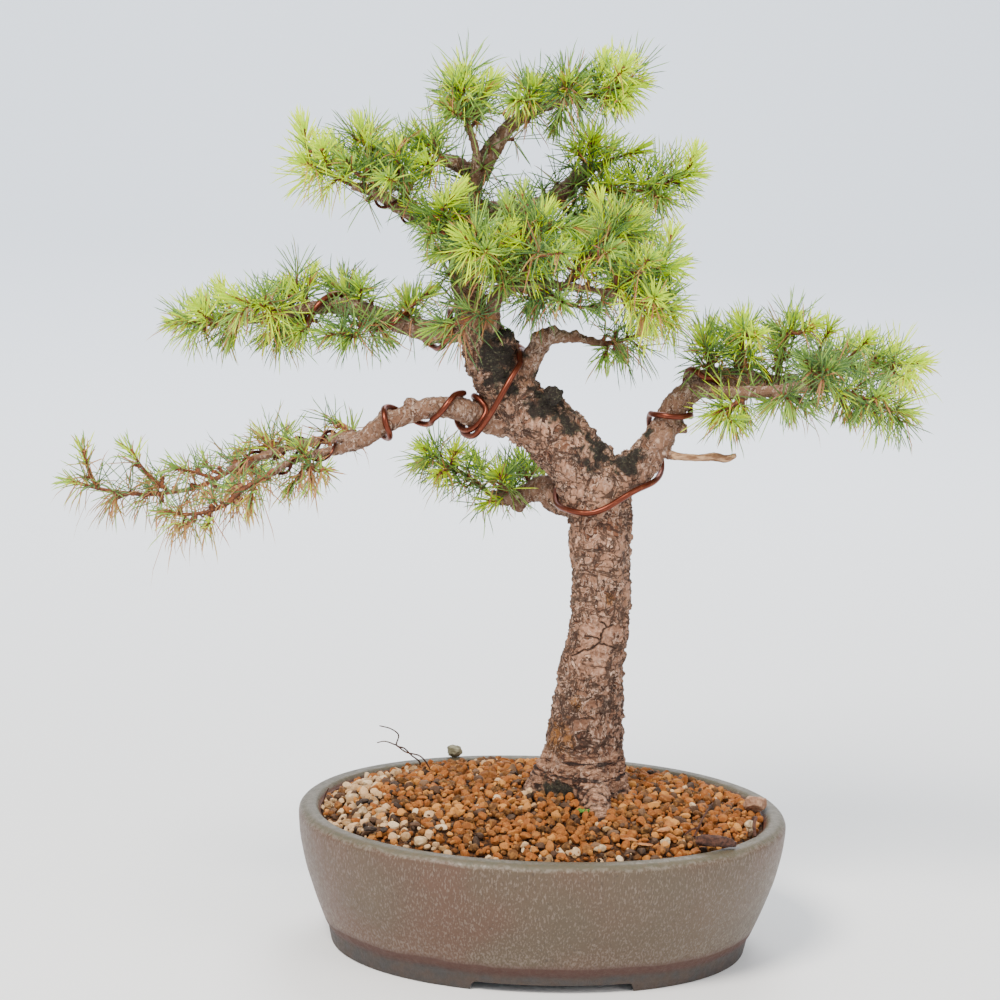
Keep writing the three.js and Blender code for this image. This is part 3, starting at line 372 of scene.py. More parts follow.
class BonsaiBarkSettings(bpy.types.PropertyGroup):
    pale: colour("Pale plates", "Colour of the weathered faces of the bark", "#c4987d")
    warm: colour("Warm plates", "Colour of the fresher faces of the bark", "#6e452f")
    # The colour of the painted shade in cracks, in the foot's folds and under the bark's edges
    crack_shade: colour("Cracks", "Colour down in the cracks", "#190d08")
    rust: colour("Rust", "Colour where bark has flaked off", "#8a5b2f")
    moss: colour("Moss", "Colour of the dry moss and algae", "#211e16")
    limb: colour("Limb bark", "Colour of the smooth bark of the limbs", "#80634f")
    detail: length("Detail", "Size of the mesh's cells on the bark", 0.95)
    plate: length("Plate", "Width of a bark plate", 9)
    depth: length("Layer depth", "Thickness of one layer of bark on the trunk", 0.4)


class BonsaiFoliageSettings(bpy.types.PropertyGroup):
    lime: colour("New needles", "Colour of this spring's needles", "#d2f404")
    green: colour("Old needles", "Colour of grown needles", "#43623d")
    dry: colour("Dry needles", "Colour of dead needles", "#a8664c")
    twig: colour("Twigs", "Colour of the young shoots", "#8b5130")
    needle_length: length("Needle length", "Length of a grown needle", 21)
    needle_width: length("Needle width", "Width of a needle", 1.05)
    tuft_pitch: length("Tuft pitch", "Distance between the tufts along a twig", 9)


class BonsaiWireSettings(bpy.types.PropertyGroup):
    thick: colour("Thick wire", "Colour of the thick wires", "#643021")
    thin: colour("Thin wire", "Colour of the thin wires", "#421c13")


class BonsaiStageSettings(bpy.types.PropertyGroup):
    floor: colour("Floor", "Colour of the floor and the backdrop", "#f1f3f5")
    light: bpy.props.FloatProperty(name="Light", description="Power of the main softbox",
                                   subtype="POWER", unit="POWER", default=98, min=0)


def to_metres(points):
    """Places in the tables' millimetres as metres in the frame."""
    return np.asarray(points, float)[..., :3] * MM + np.array(POT_MIDDLE)


def unit(way):
    """A way with a length of one."""
    return way / np.linalg.norm(way)


def turned(first, second, turn):
    """The way that lies so far round from one way to another that is square to it."""
    return first * math.cos(turn) + second * math.sin(turn)


def noises(places, size):
    """Soft noise at each place, its waves about size apart, from -1 to 1."""
    return np.array([noise.noise(Vector(place) / size) for place in places])


def fractals(places, size, falloff, octaves):
    """Rough noise at each place, its largest waves about size apart."""
    return np.array([noise.fractal(Vector(place) / size, falloff, 2.0, octaves) for place in places])


def deselect():
    bpy.ops.object.select_all(action="DESELECT")


def active(name=None):
    """The object that the last operator made, renamed if a name is given."""
    piece = bpy.context.object
    if name:
        piece.name = piece.data.name = name
    return piece


def choose(piece, *others):
    """Selects only these objects, the first one active."""
    deselect()
    for item in (piece, *others):
        item.select_set(True)
    bpy.context.view_layer.objects.active = piece


def coordinates(piece):
    """A mesh's vertex places as an array."""
    values = np.empty(len(piece.data.vertices) * 3, np.float32)
    piece.data.vertices.foreach_get("co", values)
    return values.reshape(-1, 3).astype(float)


def in_millimetres(piece):
    """A mesh's vertex places in the tables' millimetres."""
    return (coordinates(piece) - np.array(POT_MIDDLE)) / MM


def vertex_normals(piece):
    """The way that each vertex of a mesh faces."""
    values = np.empty(len(piece.data.vertices) * 3, np.float32)
    piece.data.vertices.foreach_get("normal", values)
    return values.reshape(-1, 3)


def set_coordinates(piece, values):
    piece.data.vertices.foreach_set("co", np.asarray(values, np.float32).ravel())
    piece.data.update()


def set_attribute(piece, name, values):
    """Stores one number for each vertex, which the material reads by name."""
    attribute = piece.data.attributes.new(name, "FLOAT", "POINT")
    attribute.data.foreach_set("value", np.asarray(values, np.float32).ravel())


def finish_with(piece, kind, **settings):
    """Adds a modifier and applies it."""
    choose(piece)
    modifier = piece.modifiers.new(kind.title(), kind)
    for key, value in settings.items():
        setattr(modifier, key, value)
    bpy.ops.object.modifier_apply(modifier=modifier.name)
    return piece


def dress(piece, material, slot, *nodes, smooth=None):
    """Gives a piece its material, body and the nodes that it stands for. The slot is not used."""
    choose(piece)
    if smooth is not None:
        bpy.ops.object.shade_smooth_by_angle(angle=math.radians(smooth))
    piece.data.materials.clear()
    piece.data.materials.append(material)
    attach(piece, "root")
    if nodes:
        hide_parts(*nodes)


def join(name, pieces):
    """Joins meshes into the first one."""
    choose(pieces[0], *pieces[1:])
    if len(pieces) > 1:
        bpy.ops.object.join()
    return active(name)


def smooth_line(points, step):
    """A smooth line through points of any width of row, with a row about every step."""
    rows = np.asarray(points, float)
    if len(rows) == 2:
        count = max(1, math.ceil(np.linalg.norm(rows[1, :3] - rows[0, :3]) / step))
        return rows[0] + (rows[1] - rows[0]) * np.linspace(0, 1, count + 1)[:, None]
    ends = np.vstack([2 * rows[0] - rows[1], rows, 2 * rows[-1] - rows[-2]])
    line = []
    for a, b, c, d in zip(ends, ends[1:], ends[2:], ends[3:]):
        count = max(1, math.ceil(np.linalg.norm(c[:3] - b[:3]) / step))
        for t in np.arange(count) / count:
            line.append(0.5 * (2 * b + (c - a) * t + (2 * a - 5 * b + 4 * c - d) * t * t
                               + (3 * b - a - 3 * c + d) * t ** 3))
    return np.array(line + [rows[-1]])


def frames_along(points):
    """Along each point of a line: the way it runs, and two ways square to it that don't twist."""
    along = np.gradient(points, axis=0)
    along /= np.linalg.norm(along, axis=1)[:, None]
    normal = np.array([0.31, -0.95, 0.05])
    normals = []
    for way in along:
        normal = unit(normal - way * normal.dot(way))
        normals.append(normal)
    normals = np.array(normals)
    return along, normals, np.cross(along, normals)


def travelled(rows):
    """How far along a line each of its rows lies."""
    return np.concatenate([[0], np.cumsum(np.linalg.norm(np.diff(rows[:, :3], axis=0), axis=1))])


def row_at(rows, place):
    """The row at a place between the rows of a line, and the way that the line runs there."""
    index = min(int(place), len(rows) - 2)
    step = rows[index + 1] - rows[index]
    return rows[index] + step * (place - index), unit(step[:3])


def square_ways(way):
    """Two ways square to one."""
    helper = np.array([0, 0, 1.0]) if abs(way[2]) < 0.8 else np.array([1.0, 0, 0])
    first = unit(np.cross(way, helper))
    return first, np.cross(way, first)


def tubes(name, lines, sides):
    """A mesh of tubes: each line is rows of [x, y, z, radius]."""
    bpy.ops.curve.primitive_nurbs_path_add(location=(0, 0, 0))
    piece = active(name)
    curve = piece.data
    curve.splines.clear()
    curve.bevel_depth = MM
    curve.bevel_resolution = max(0, (sides - 4) // 2)
    curve.use_fill_caps = True
    curve.resolution_u = 1
    for rows in lines:
        rows = np.asarray(rows)
        spline = curve.splines.new("POLY")
        spline.points.add(len(rows) - 1)
        places = np.column_stack([to_metres(rows), np.ones(len(rows))])
        spline.points.foreach_set("co", places.ravel())
        spline.points.foreach_set("radius", rows[:, 3].copy())
    choose(piece)
    bpy.ops.object.convert(target="MESH")
    return active(name)


def template(piece):
    """A modelled shape's places and faces, which copies are made from. The shape itself goes."""
    places = coordinates(piece)
    faces = [list(face.vertices) for face in piece.data.polygons]
    bpy.data.objects.remove(piece)
    return places, faces


def chipped_ball(name, detail, random, flats, farthest, depth=1.0):
    """A ball of radius one, and its places once flats have cut it back."""
    deselect()
    bpy.ops.mesh.primitive_ico_sphere_add(subdivisions=detail, radius=1)
    piece = active(name)
    places = coordinates(piece)
    for _ in range(flats):
        way = unit(np.array([random.gauss(0, 1) for _ in range(3)]))
        beyond = places @ way - random.uniform(NEAREST_FLAT, farthest)
        places -= np.clip(beyond, 0, None)[:, None] * way * depth
    return piece, places


def stretched_shape(name, sides, radius, stages, pointed=False):
    """A closed shape one unit long, extruded upwards by stages of [rise, widening]."""
    deselect()
    bpy.ops.mesh.primitive_circle_add(vertices=sides, radius=radius, fill_type="NGON")
    piece = active(name)
    bpy.ops.object.mode_set(mode="EDIT")
    for rise, widen in stages:
        bpy.ops.mesh.extrude_region_move(TRANSFORM_OT_translate={"value": (0, 0, rise)})
        bpy.ops.transform.resize(value=(widen, widen, 1))
    if pointed:
        bpy.ops.mesh.merge(type="CENTER")
    bpy.ops.mesh.select_all(action="SELECT")
    bpy.ops.mesh.normals_make_consistent(inside=False)
    bpy.ops.object.mode_set(mode="OBJECT")
    return template(piece)


def copies(name, shape, places, attributes):
    """One mesh of many copies of a shape. places holds each copy's vertices, and attributes one number
    for each copy or each vertex."""
    faces = shape[1]
    total, per_copy = places.shape[:2]
    corners = np.array([corner for face in faces for corner in face])
    sizes = np.array([len(face) for face in faces])
    shift = np.arange(total)[:, None] * per_copy
    loops = (corners[None, :] + shift).ravel()
    counts = np.tile(sizes, total)
    mesh = bpy.data.meshes.new(name)
    mesh.vertices.add(total * per_copy)
    mesh.vertices.foreach_set("co", to_metres(places).astype(np.float32).ravel())
    mesh.loops.add(len(loops))
    mesh.loops.foreach_set("vertex_index", loops.astype(np.int32))
    mesh.polygons.add(len(counts))
    mesh.polygons.foreach_set("loop_start", np.concatenate([[0], np.cumsum(counts)[:-1]]).astype(np.int32))
    mesh.update(calc_edges=True)
    mesh.validate()
    piece = bpy.data.objects.new(name, mesh)
    bpy.context.scene.collection.objects.link(piece)
    for key, values in attributes.items():
        values = np.asarray(values, float)
        set_attribute(piece, key, values if values.size == total * per_copy else np.repeat(values, per_copy))
    return piece


# For each kind of shader node: the inputs that take values in this order, the output that is used, its
# usual settings, and the usual values of inputs. Mix has a factor and colours under these numbers
KINDS = {
    "TexCoord": ((), "Object", {}, {}),
    "Attribute": ((), "Fac", {}, {}),
    "SeparateXYZ": (("Vector",), "Z", {}, {}),
    "Mapping": (("Vector", "Scale", "Location"), "Vector", {}, {}),
    "TexNoise": (("Vector", "Scale", "Detail", "Roughness", "Distortion"), "Fac", {}, {"Roughness": 0.55}),
    "MapRange": (("Value", "From Min", "From Max", "To Min", "To Max"), "Result",
                 {"interpolation_type": "SMOOTHSTEP"}, {}),
    "Math": ((0, 1), "Value", {}, {}),
    "Mix": ((0, 6, 7), 2, {"data_type": "RGBA"}, {}),
    "Bump": (("Height", "Strength", "Distance"), "Normal", {}, {}),
    "BsdfPrincipled": ((), "BSDF", {}, {}),
    "OutputMaterial": (("Surface",), None, {}, {}),
}


def wide(size):
    """The scale of a pattern whose patches are about size millimetres wide."""
    return 1 / (size * MM)


class Finish:
    """A material that is built node by node."""

    def __init__(self, name):
        self.material = bpy.data.materials.new(name)
        self.material.use_nodes = True
        self.tree = self.material.node_tree
        self.tree.nodes.clear()

    def add(self, kind, *values, inputs=None, **settings):
        """Adds a shader node, such as "Mix" or "Math ADD", with its settings, and returns its output. Its
        inputs take numbers, hex colours or other nodes' outputs, in the order of KINDS or by name."""
        kind, *operation = kind.split()
        order, output, usual_settings, usual_inputs = KINDS[kind]
        node = self.tree.nodes.new("ShaderNode" + kind)
        if operation:
            node.operation = operation[0]
        for key, value in {**usual_settings, **settings}.items():
            setattr(node, key, value)
        for key, value in {**usual_inputs, **dict(zip(order, values)), **(inputs or {})}.items():
            if isinstance(value, bpy.types.NodeSocket):
                self.tree.links.new(value, node.inputs[key])
            else:
                node.inputs[key].default_value = linear(value) if isinstance(value, str) else value
        return node.outputs[output] if output else node

    def close(self, inputs):
        """Ends the material with its surface shader."""
        self.add("OutputMaterial", self.add("BsdfPrincipled", inputs=inputs))
        return self.material


def glazed_stoneware(settings):
    """Stoneware under a matt iron glaze: fine pale specks that ran down, greyer where it lies thick on
    the lip, and bare grey clay with a red edge where it stops."""
    finish = Finish("glazed_stoneware")
    add = finish.add
    coords = add("TexCoord")
    height = add("SeparateXYZ", coords)
    broad = add("TexNoise", coords, wide(60), 3)
    wall = add("Mix", add("MapRange", broad, 0.35, 0.65), settings.wall, "#4b3828")
    olive = add("TexNoise", coords, wide(110), 2)
    wall = add("Mix", add("MapRange", olive, 0.44, 0.62, 0, 0.45), wall, "#4c4533")
    # Specks about a millimetre wide and longer down the wall, denser where the glaze gathers low down
    specks = add("TexNoise", add("Mapping", coords, (1, 1, 0.36)), wide(0.95), 3, 0.55)
    gather = add("MapRange", height, 0.036, 0.016, 0, 0.06)
    specks = add("MapRange", add("Math ADD", specks, gather), 0.52, 0.66)
    wall = add("Mix", add("Math MULTIPLY", specks, 0.52), wall, settings.speck)
    pits = add("TexNoise", add("Mapping", coords, (1, 1, 0.5)), wide(1.3), 2, 0.5)
    wall = add("Mix", add("MapRange", pits, 0.6, 0.72, 0, 0.45), wall, "#2d231b")
    # The lip, with a pale broken line where the glaze pulled thin over its edge
    waver = add("Math MULTIPLY", add("TexNoise", coords, wide(14), 3), 0.004)
    lip_height = add("Math ADD", height, waver)
    lip = add("MapRange", lip_height, (POT_HEIGHT - 1.6) * MM, (POT_HEIGHT + 0.6) * MM)
    grain = add("TexNoise", coords, wide(3), 4)
    rim = add("Mix", add("MapRange", grain, 0.35, 0.7), settings.rim, "#4d4939")
    colour_out = add("Mix", lip, wall, rim)
    line_low = add("MapRange", lip_height, (POT_HEIGHT - 2.4) * MM, (POT_HEIGHT - 1.2) * MM)
    line_high = add("MapRange", lip_height, (POT_HEIGHT + 0.9) * MM, (POT_HEIGHT - 0.2) * MM)
    line = add("Math MULTIPLY", line_low, line_high)
    broken = add("MapRange", add("TexNoise", coords, wide(2.6), 3), 0.42, 0.62)
    line = add("Math MULTIPLY", line, broken)
    colour_out = add("Mix", add("Math MULTIPLY", line, 0.26), colour_out, "#938c82")
    # Bare clay below the glaze's wavy end
    wave = add("Math MULTIPLY", add("TexNoise", coords, wide(45), 2), 0.006)
    edge = add("Math SUBTRACT", add("Math ADD", height, wave), settings.glaze_end + 3 * MM)
    bare = add("MapRange", edge, 0.0004, -0.0006)
    iron = add("MapRange", edge, -0.0085, -0.0035)
    clay = add("Mix", add("MapRange", add("TexNoise", coords, wide(8), 4), 0.3, 0.7), settings.foot,
               "#343130")
    clay = add("Mix", iron, clay, settings.iron)
    above = add("MapRange", edge, 0.0035, 0.0002, 0, 0.55)
    colour_out = add("Mix", above, colour_out, settings.iron)
    colour_out = add("Mix", bare, colour_out, clay)
    inner = add("Attribute", attribute_name="inside")
    inside = add("Mix", add("MapRange", add("TexNoise", coords, wide(9), 4), 0.3, 0.7), settings.inside,
                 "#553423")
    colour_out = add("Mix", inner, colour_out, inside)
    roughness = add("MapRange", grain, 0.3, 0.7, 0.42, 0.58)
    roughness = add("Math ADD", roughness, add("Math MULTIPLY", bare, 0.2))
    relief = add("Math ADD", specks, add("TexNoise", coords, wide(5), 5))
    return finish.close({"Base Color": colour_out, "Roughness": roughness, "IOR": 1.5,
                         "Normal": add("Bump", relief, 0.5, 0.35 * MM)})


def oval(radius, angle):
    """A place on the pot's oval, whose wall keeps one thickness."""
    loss = (POT_LENGTH - POT_DEPTH) / 2 * np.minimum(1, radius / OVAL_FLAT)
    cos, sin = np.cos(angle), np.sin(angle)
    power = 2 / OVAL_POWER
    x = radius * np.sign(cos) * np.abs(cos) ** power
    y = (radius - loss) * np.sign(sin) * np.abs(sin) ** power
    return x, y


def spun_oval(name, profile, steps):
    """Spins a closed profile of [radius, height] round the upright axis and draws it out to the oval."""
    deselect()
    bpy.ops.mesh.primitive_circle_add(vertices=len(profile), radius=POT_LENGTH * MM)
    piece = active(name)
    set_coordinates(piece, [[radius * MM, 0, height * MM] for radius, height in profile])
    bpy.ops.object.mode_set(mode="EDIT")
    bpy.ops.mesh.select_all(action="SELECT")
    bpy.ops.mesh.spin(steps=steps, angle=2 * math.pi, center=(0, 0, 0), axis=(0, 0, 1))
    bpy.ops.mesh.select_all(action="SELECT")
    bpy.ops.mesh.remove_doubles(threshold=0.00002)
    bpy.ops.mesh.delete_loose()
    bpy.ops.mesh.select_all(action="SELECT")
    bpy.ops.mesh.normals_make_consistent(inside=False)
    bpy.ops.object.mode_set(mode="OBJECT")
    places = coordinates(piece) / MM
    radius = np.hypot(places[:, 0], places[:, 1])
    x, y = oval(radius, np.arctan2(places[:, 1], places[:, 0]))
    set_coordinates(piece, to_metres(np.column_stack([x, y, places[:, 2]])))
    return piece


def cut(piece, cutter):
    """Cuts a shape out of a piece, and drops the shape."""
    finish_with(piece, "BOOLEAN", operation="DIFFERENCE", solver="EXACT", object=cutter)
    bpy.data.objects.remove(cutter)


def rounded_profile(corners, steps=3):
    """A closed profile through rows of [radius, height, rounding], its corners rounded."""
    points = []
    rows = np.array(corners, float)
    for i, row in enumerate(rows):
        here = row[:2]
        before = rows[i - 1, :2] - here
        after = rows[(i + 1) % len(rows), :2] - here
        reach = min(row[2], 0.45 * np.linalg.norm(before), 0.45 * np.linalg.norm(after))
        if reach == 0:
            points.append(here)
            continue
        start = here + unit(before) * reach
        end = here + unit(after) * reach
        for t in np.linspace(0, 1, steps + 1):
            points.append((1 - t) ** 2 * start + 2 * t * (1 - t) * here + t * t * end)
    return points


class BonsaiPot(bpy.types.Operator):
    """Spins the oval pot, cuts its foot and drain holes, and glazes it"""
    bl_idname = "bonsai.pot"
    bl_label = "Pot"

    def execute(self, context):
        settings = context.scene.bonsai_pot
        inner = [[radius, height, 3] for radius, height in reversed(INNER_WALL)]
        corners = [[0, FLOOR_BOTTOM, 0]] + OUTER_WALL + inner + [[0, FLOOR_TOP, 0]]
        piece = spun_oval("glazed_pot", rounded_profile(corners), settings.steps)
        cut(piece, self.foot_notch())
        for side in (-1, 1):
            cut(piece, self.drain(side))
        local = in_millimetres(piece)
        wobble = noises(local, 55) * WALL_WOBBLE
        outward = local * [1, 1, 0] / np.maximum(1, np.hypot(local[:, 0], local[:, 1]))[:, None]
        hold = np.clip((local[:, 2] - 4) / 20, 0, 1)
        set_coordinates(piece, coordinates(piece) - outward * np.abs(wobble * hold)[:, None] * MM)
        facing = (outward * vertex_normals(piece)).sum(1)
        inside = (facing < 0.4) & (local[:, 2] > FLOOR_TOP - 1) & (local[:, 2] < POT_HEIGHT - 3)
        set_attribute(piece, "inside", inside)
        dress(piece, glazed_stoneware(settings), "glazed_clay", "pot", smooth=38)
        return {"FINISHED"}

    @staticmethod
    def foot_notch():
        """The gap between the two feet: a long low arch right through the pot's foot."""
        half = FOOT_NOTCH_LENGTH / 2
        deselect()
        bpy.ops.mesh.primitive_cube_add(size=1)
        cutter = active("foot_notch")
        places = coordinates(cutter)
        flare = np.where(places[:, 2] > 0, half - 2.5, half)
        shaped = np.column_stack([
            np.sign(places[:, 0]) * flare + FOOT_NOTCH_OFFSET, places[:, 1] * 1.2 * POT_DEPTH,
            np.where(places[:, 2] > 0, FOOT_NOTCH_HEIGHT, -FOOT_NOTCH_HEIGHT)])
        set_coordinates(cutter, to_metres(shaped))
        return finish_with(cutter, "BEVEL", width=2 * MM, segments=3)

    @staticmethod
    def drain(side):
        """A round drain hole through the floor."""
        deselect()
        bpy.ops.mesh.primitive_cylinder_add(vertices=40, radius=DRAIN_RADIUS * MM, depth=30 * MM,
                                            location=to_metres([side * DRAIN_OFFSET, 0, FLOOR_TOP]))
        bpy.ops.object.transform_apply(location=True)
        return active("drain")


def moulded_mesh():
    """Black polyethylene mesh: slightly glossy strands."""
    finish = Finish("moulded_polyethylene_mesh")
    add = finish.add
    coords = add("TexCoord")
    dust = add("TexNoise", coords, wide(6), 4)
    shade = add("Mix", add("MapRange", dust, 0.45, 0.7, 0, 0.5), "#191c1f", "#513f2e")
    return finish.close({"Base Color": shade, "Roughness": 0.5, "IOR": 1.5})


class BonsaiDrainScreens(bpy.types.Operator):
    """Makes the plastic mesh over each drain hole from a grid of strands"""
    bl_idname = "bonsai.drain_screens"
    bl_label = "Drain screens"

    def execute(self, context):
        material = moulded_mesh()
        for side, name in ((-1, "drain_screen_left"), (1, "drain_screen_right")):
            low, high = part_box(name)
            deselect()
            bpy.ops.mesh.primitive_grid_add(x_subdivisions=SCREEN_STRANDS, y_subdivisions=SCREEN_STRANDS,
                                            size=SCREEN_SIZE * MM, location=(low + high) / 2)
            bpy.ops.object.transform_apply(location=True)
            piece = active(name.replace("drain_screen", "drain_mesh"))
            finish_with(piece, "WIREFRAME", thickness=SCREEN_THICKNESS * MM, use_even_offset=False)
            dress(piece, material, "plastic_mesh", name, smooth=30)
        return {"FINISHED"}


def dome_height(x, y):
    """Height of the soil's top."""
    share = np.minimum(1, np.hypot(x / (POT_LENGTH / 2), y / (POT_DEPTH / 2)) * 1.1)
    return SOIL_EDGE_HEIGHT + SOIL_DOME_RISE * (1 - share ** 3)


def potting_soil(settings):
    """Damp bark soil and fine grit that fills in between the grains."""
    finish = Finish("potting_soil")
    add = finish.add
    coords = add("TexCoord")
    grit = add("TexNoise", coords, wide(1.6), 5, 0.7)
    shade = add("Mix", add("MapRange", grit, 0.4, 0.7), settings.bed, "#6e441f")
    return finish.close({"Base Color": shade, "Roughness": 0.95, "IOR": 1.4,
                         "Normal": add("Bump", grit, 0.8, 1.0 * MM)})


class BonsaiSoilBed(bpy.types.Operator):
    """Fills the pot with a bed of soil whose top is a low dome"""
    bl_idname = "bonsai.soil_bed"
    bl_label = "Soil bed"

    def execute(self, context):
        wall = [[radius - BED_INSET, height] for radius, height in INNER_WALL[:5]]
        wall[0][1] += BED_LIFT
        wall.append([INNER_WALL[5][0] - BED_CRUMBS, SOIL_EDGE_HEIGHT - BED_DROP])
        top = [[radius, SOIL_EDGE_HEIGHT] for radius in np.linspace(130, 0, BED_RINGS)]
        piece = spun_oval("soil_bed", [[0, wall[0][1]]] + wall + top, BED_STEPS)
        local = in_millimetres(piece)
        crumbs = fractals(local, 5, 0.6, 4)
        on_top = local[:, 2] > SOIL_EDGE_HEIGHT - 0.5
        lifted = dome_height(local[:, 0], local[:, 1]) - BED_DROP + crumbs * BED_CRUMBS
        local[:, 2] = np.where(on_top, lifted, local[:, 2])
        set_coordinates(piece, to_metres(local))
        dress(piece, potting_soil(context.scene.bonsai_soil), "gravel", "soil", smooth=60)
        return {"FINISHED"}


def grain_material(name, base, other, spot, pore_shade):
    """A mineral grain: each has its own tone from dark to pale, with dusty faces and painted shade darkening
    each pore where its bump dips.
    """
    finish = Finish(name)
    add = finish.add
    coords = add("TexCoord")
    own = add("Attribute", attribute_name="shade")
    shade = add("Mix", add("MapRange", own, 0.5, 0.05), base, other)
    shade = add("Mix", add("MapRange", own, 0.72, 1.0, 0, 0.8), shade, spot)
    dust = add("TexNoise", coords, wide(2.4), 4, 0.6)
    shade = add("Mix", add("MapRange", dust, 0.42, 0.7, 0, 0.35), shade, spot)
    # Painted shade darkens each pore, where the bump dips
    holes = add("TexNoise", coords, wide(0.9), 3, 0.6)
    dark = add("Mix", 0.6, shade, "#25160d")
    shade = add("Mix", add("MapRange", holes, 0.42, 0.3, 0, pore_shade), shade, dark)
    relief = add("Math ADD", dust, holes)
    return finish.close({"Base Color": shade, "Roughness": 0.85, "IOR": 1.45,
                         "Normal": add("Bump", relief, 0.7, 0.5 * MM)})


def grain_shapes(random):
    """A few rounded-angular grains, each modelled once from a ball cut back by flats."""
    shapes = []
    for _ in range(GRAIN_SHAPES):
        piece, places = chipped_ball("grain", 2, random, 11, 0.85)
        wobble = [1 + 0.12 * noise.noise(Vector(place) * 1.7 + Vector((random.random() * 9, 0, 0)))
                  for place in places]
        set_coordinates(piece, places * np.array(wobble)[:, None])
        shapes.append(template(piece))
    return shapes


class Clearance:
    """The wood as points along its limbs, to measure how far a place is from it."""

    def __init__(self, step=3.0):
        lines = [smooth_line(limb, step) for limb in LIMBS.values()]
        frames = [frames_along(line[:, :3]) for line in lines]
        self.rows = np.vstack(lines)
        self.along, self.normals, self.sides = (np.vstack(ways) for ways in zip(*frames))
        self.travelled = np.concatenate([travelled(line) for line in lines])
        self.names = np.repeat(list(LIMBS), [len(line) for line in lines])

    def nearest(self, places):
        """For each place the index of the limb point whose bark is nearest, and how far that bark is."""
        centres, radii = self.rows[:, :3], self.rows[:, 3]
        indices, gaps = [], []
        for block in np.array_split(places, max(1, len(places) // 4000)):
            squares = (block ** 2).sum(1)[:, None] + (centres ** 2).sum(1)[None] - 2 * block @ centres.T
            gap = np.sqrt(np.maximum(squares, 0)) - radii
            indices.append(gap.argmin(1))
            gaps.append(gap.min(1))
        return np.concatenate(indices), np.concatenate(gaps)


WOOD = Clearance()


class BonsaiGravel(bpy.types.Operator):
    """Strews baked clay, pumice and lava grains over the soil bed"""
    bl_idname = "bonsai.gravel"
    bl_label = "Gravel"

    def execute(self, context):
        settings = context.scene.bonsai_soil
        random = Random(41)
        shapes = grain_shapes(random)
        grains = [grain for layer in GRAIN_LAYERS for grain in self.strewn(random, settings, *layer)]
        kinds = {
            "gravel_clay": ("baked_clay_granules", settings.clay, "#4b2e0c", "#c48944", 0.9),
            "gravel_pumice": ("pumice", settings.pale, "#916c40", "#d4bf9d", 0.5),
            "gravel_lava": ("lava_grit", settings.dark, "#2a1b10", "#77593f", 0.7),
        }
        for number, (name, (finish, base, other, spot, pore_shade)) in enumerate(kinds.items()):
            chosen = [grain for grain in grains if grain["kind"] == number]
            parts = []
            for index, shape in enumerate(shapes):
                batch = [grain for grain in chosen if grain["shape"] == index]
                if not batch:
                    continue
                places = np.array([shape[0] @ grain["turn"] * grain["size"] + grain["place"]
                                   for grain in batch])
                parts.append(copies(name, shape, places, {"shade": [grain["shade"] for grain in batch]}))
            piece = join(name, parts)
            material = grain_material(finish, base, other, spot, pore_shade)
            dress(piece, material, "gravel", smooth=28)
        return {"FINISHED"}

    @staticmethod
    def strewn(random, settings, tries, lift, size_share):
        """One layer of grains thrown down one by one, the largest first, none on top of another."""
        sizes = sorted((random.uniform(settings.smallest, settings.largest) / MM / 2 * size_share
                        for _ in range(tries)), reverse=True)
        cell = settings.largest / MM
        taken, grains = {}, []
        half_width = INNER_WALL[5][0]
        half_depth = half_width - (POT_LENGTH - POT_DEPTH) / 2
        for size in sizes:
            x = random.uniform(-half_width, half_width)
            y = random.uniform(-half_depth, half_depth)
            edge = math.hypot(x / (half_width - size * 0.8), y / (half_depth - size * 0.8))
            column, row = math.floor(x / cell), math.floor(y / cell)
            near = [other for i in (-1, 0, 1) for j in (-1, 0, 1)
                    for other in taken.get((column + i, row + j), ())]
            if edge > 1 or any(math.hypot(x - a, y - b) < 0.8 * (size + c) for a, b, c in near):
                continue
            taken.setdefault((column, row), []).append((x, y, size))
            z = float(dome_height(x, y)) + lift + random.uniform(-0.9, 0.7)
            z += 1.3 * noise.noise(Vector((x, y, 0)) / 17)
            grains.append({"x": x, "y": y, "size": size, "edge": edge, "place": np.array([x, y, z])})
        gaps = WOOD.nearest(np.array([grain["place"] for grain in grains]))[1]
        return [BonsaiGravel.described(random, grain) for grain, gap in zip(grains, gaps)
                if gap > grain["size"] * 0.55]

    @staticmethod
    def described(random, grain):
        """A grain's kind, shape, turn and shade. Pale grains gather at the left of the rim."""
        x, y = grain["x"], grain["y"]
        left = min(1, max(0, (-x - 62) / 45)) * min(1, max(0, grain["edge"] - 0.6) / 0.22)
        front = 0.16 if y < -55 and x < 45 and grain["edge"] > 0.86 else 0
        patch = noise.noise(Vector((x, y, 5)) / 22)
        pale = 0.03 + max(left * (0.55 + 0.6 * patch), front)
        dark = 0.14 + 0.12 * patch
        draw = random.random()
        kind = 1 if draw < pale else 2 if draw < pale + dark else 0
        turn = (Matrix.Rotation(random.uniform(0, 6.28), 3, "Z")
                @ Matrix.Rotation(random.uniform(0, 6.28), 3, "X"))
        stretch = np.diag([random.uniform(0.95, 1.35), random.uniform(0.85, 1.1), random.uniform(0.7, 1.0)])
        grain.update(kind=kind, shape=random.randrange(GRAIN_SHAPES), turn=stretch @ np.array(turn),
                     shade=random.random())
        return grain


def flake_layers(add, coords, size, layers, stretch):
    """Bark that flakes off in layers, a flake about size millimetres across: how high each layer lies, the
    painted shadow under its ragged edge and the painted highlight along the lip of it, all from 0 to 1."""
    field = add("TexNoise", add("Mapping", coords, stretch), wide(size), 4.5, 0.52, 0.6)
    scaled = add("Math MULTIPLY", field, layers)
    rest = add("Math FRACT", scaled)
    level = add("Math DIVIDE", add("Math FLOOR", scaled), layers)
    return level, add("MapRange", rest, 0.79, 0.9), add("MapRange", rest, 0.2, 0.04)


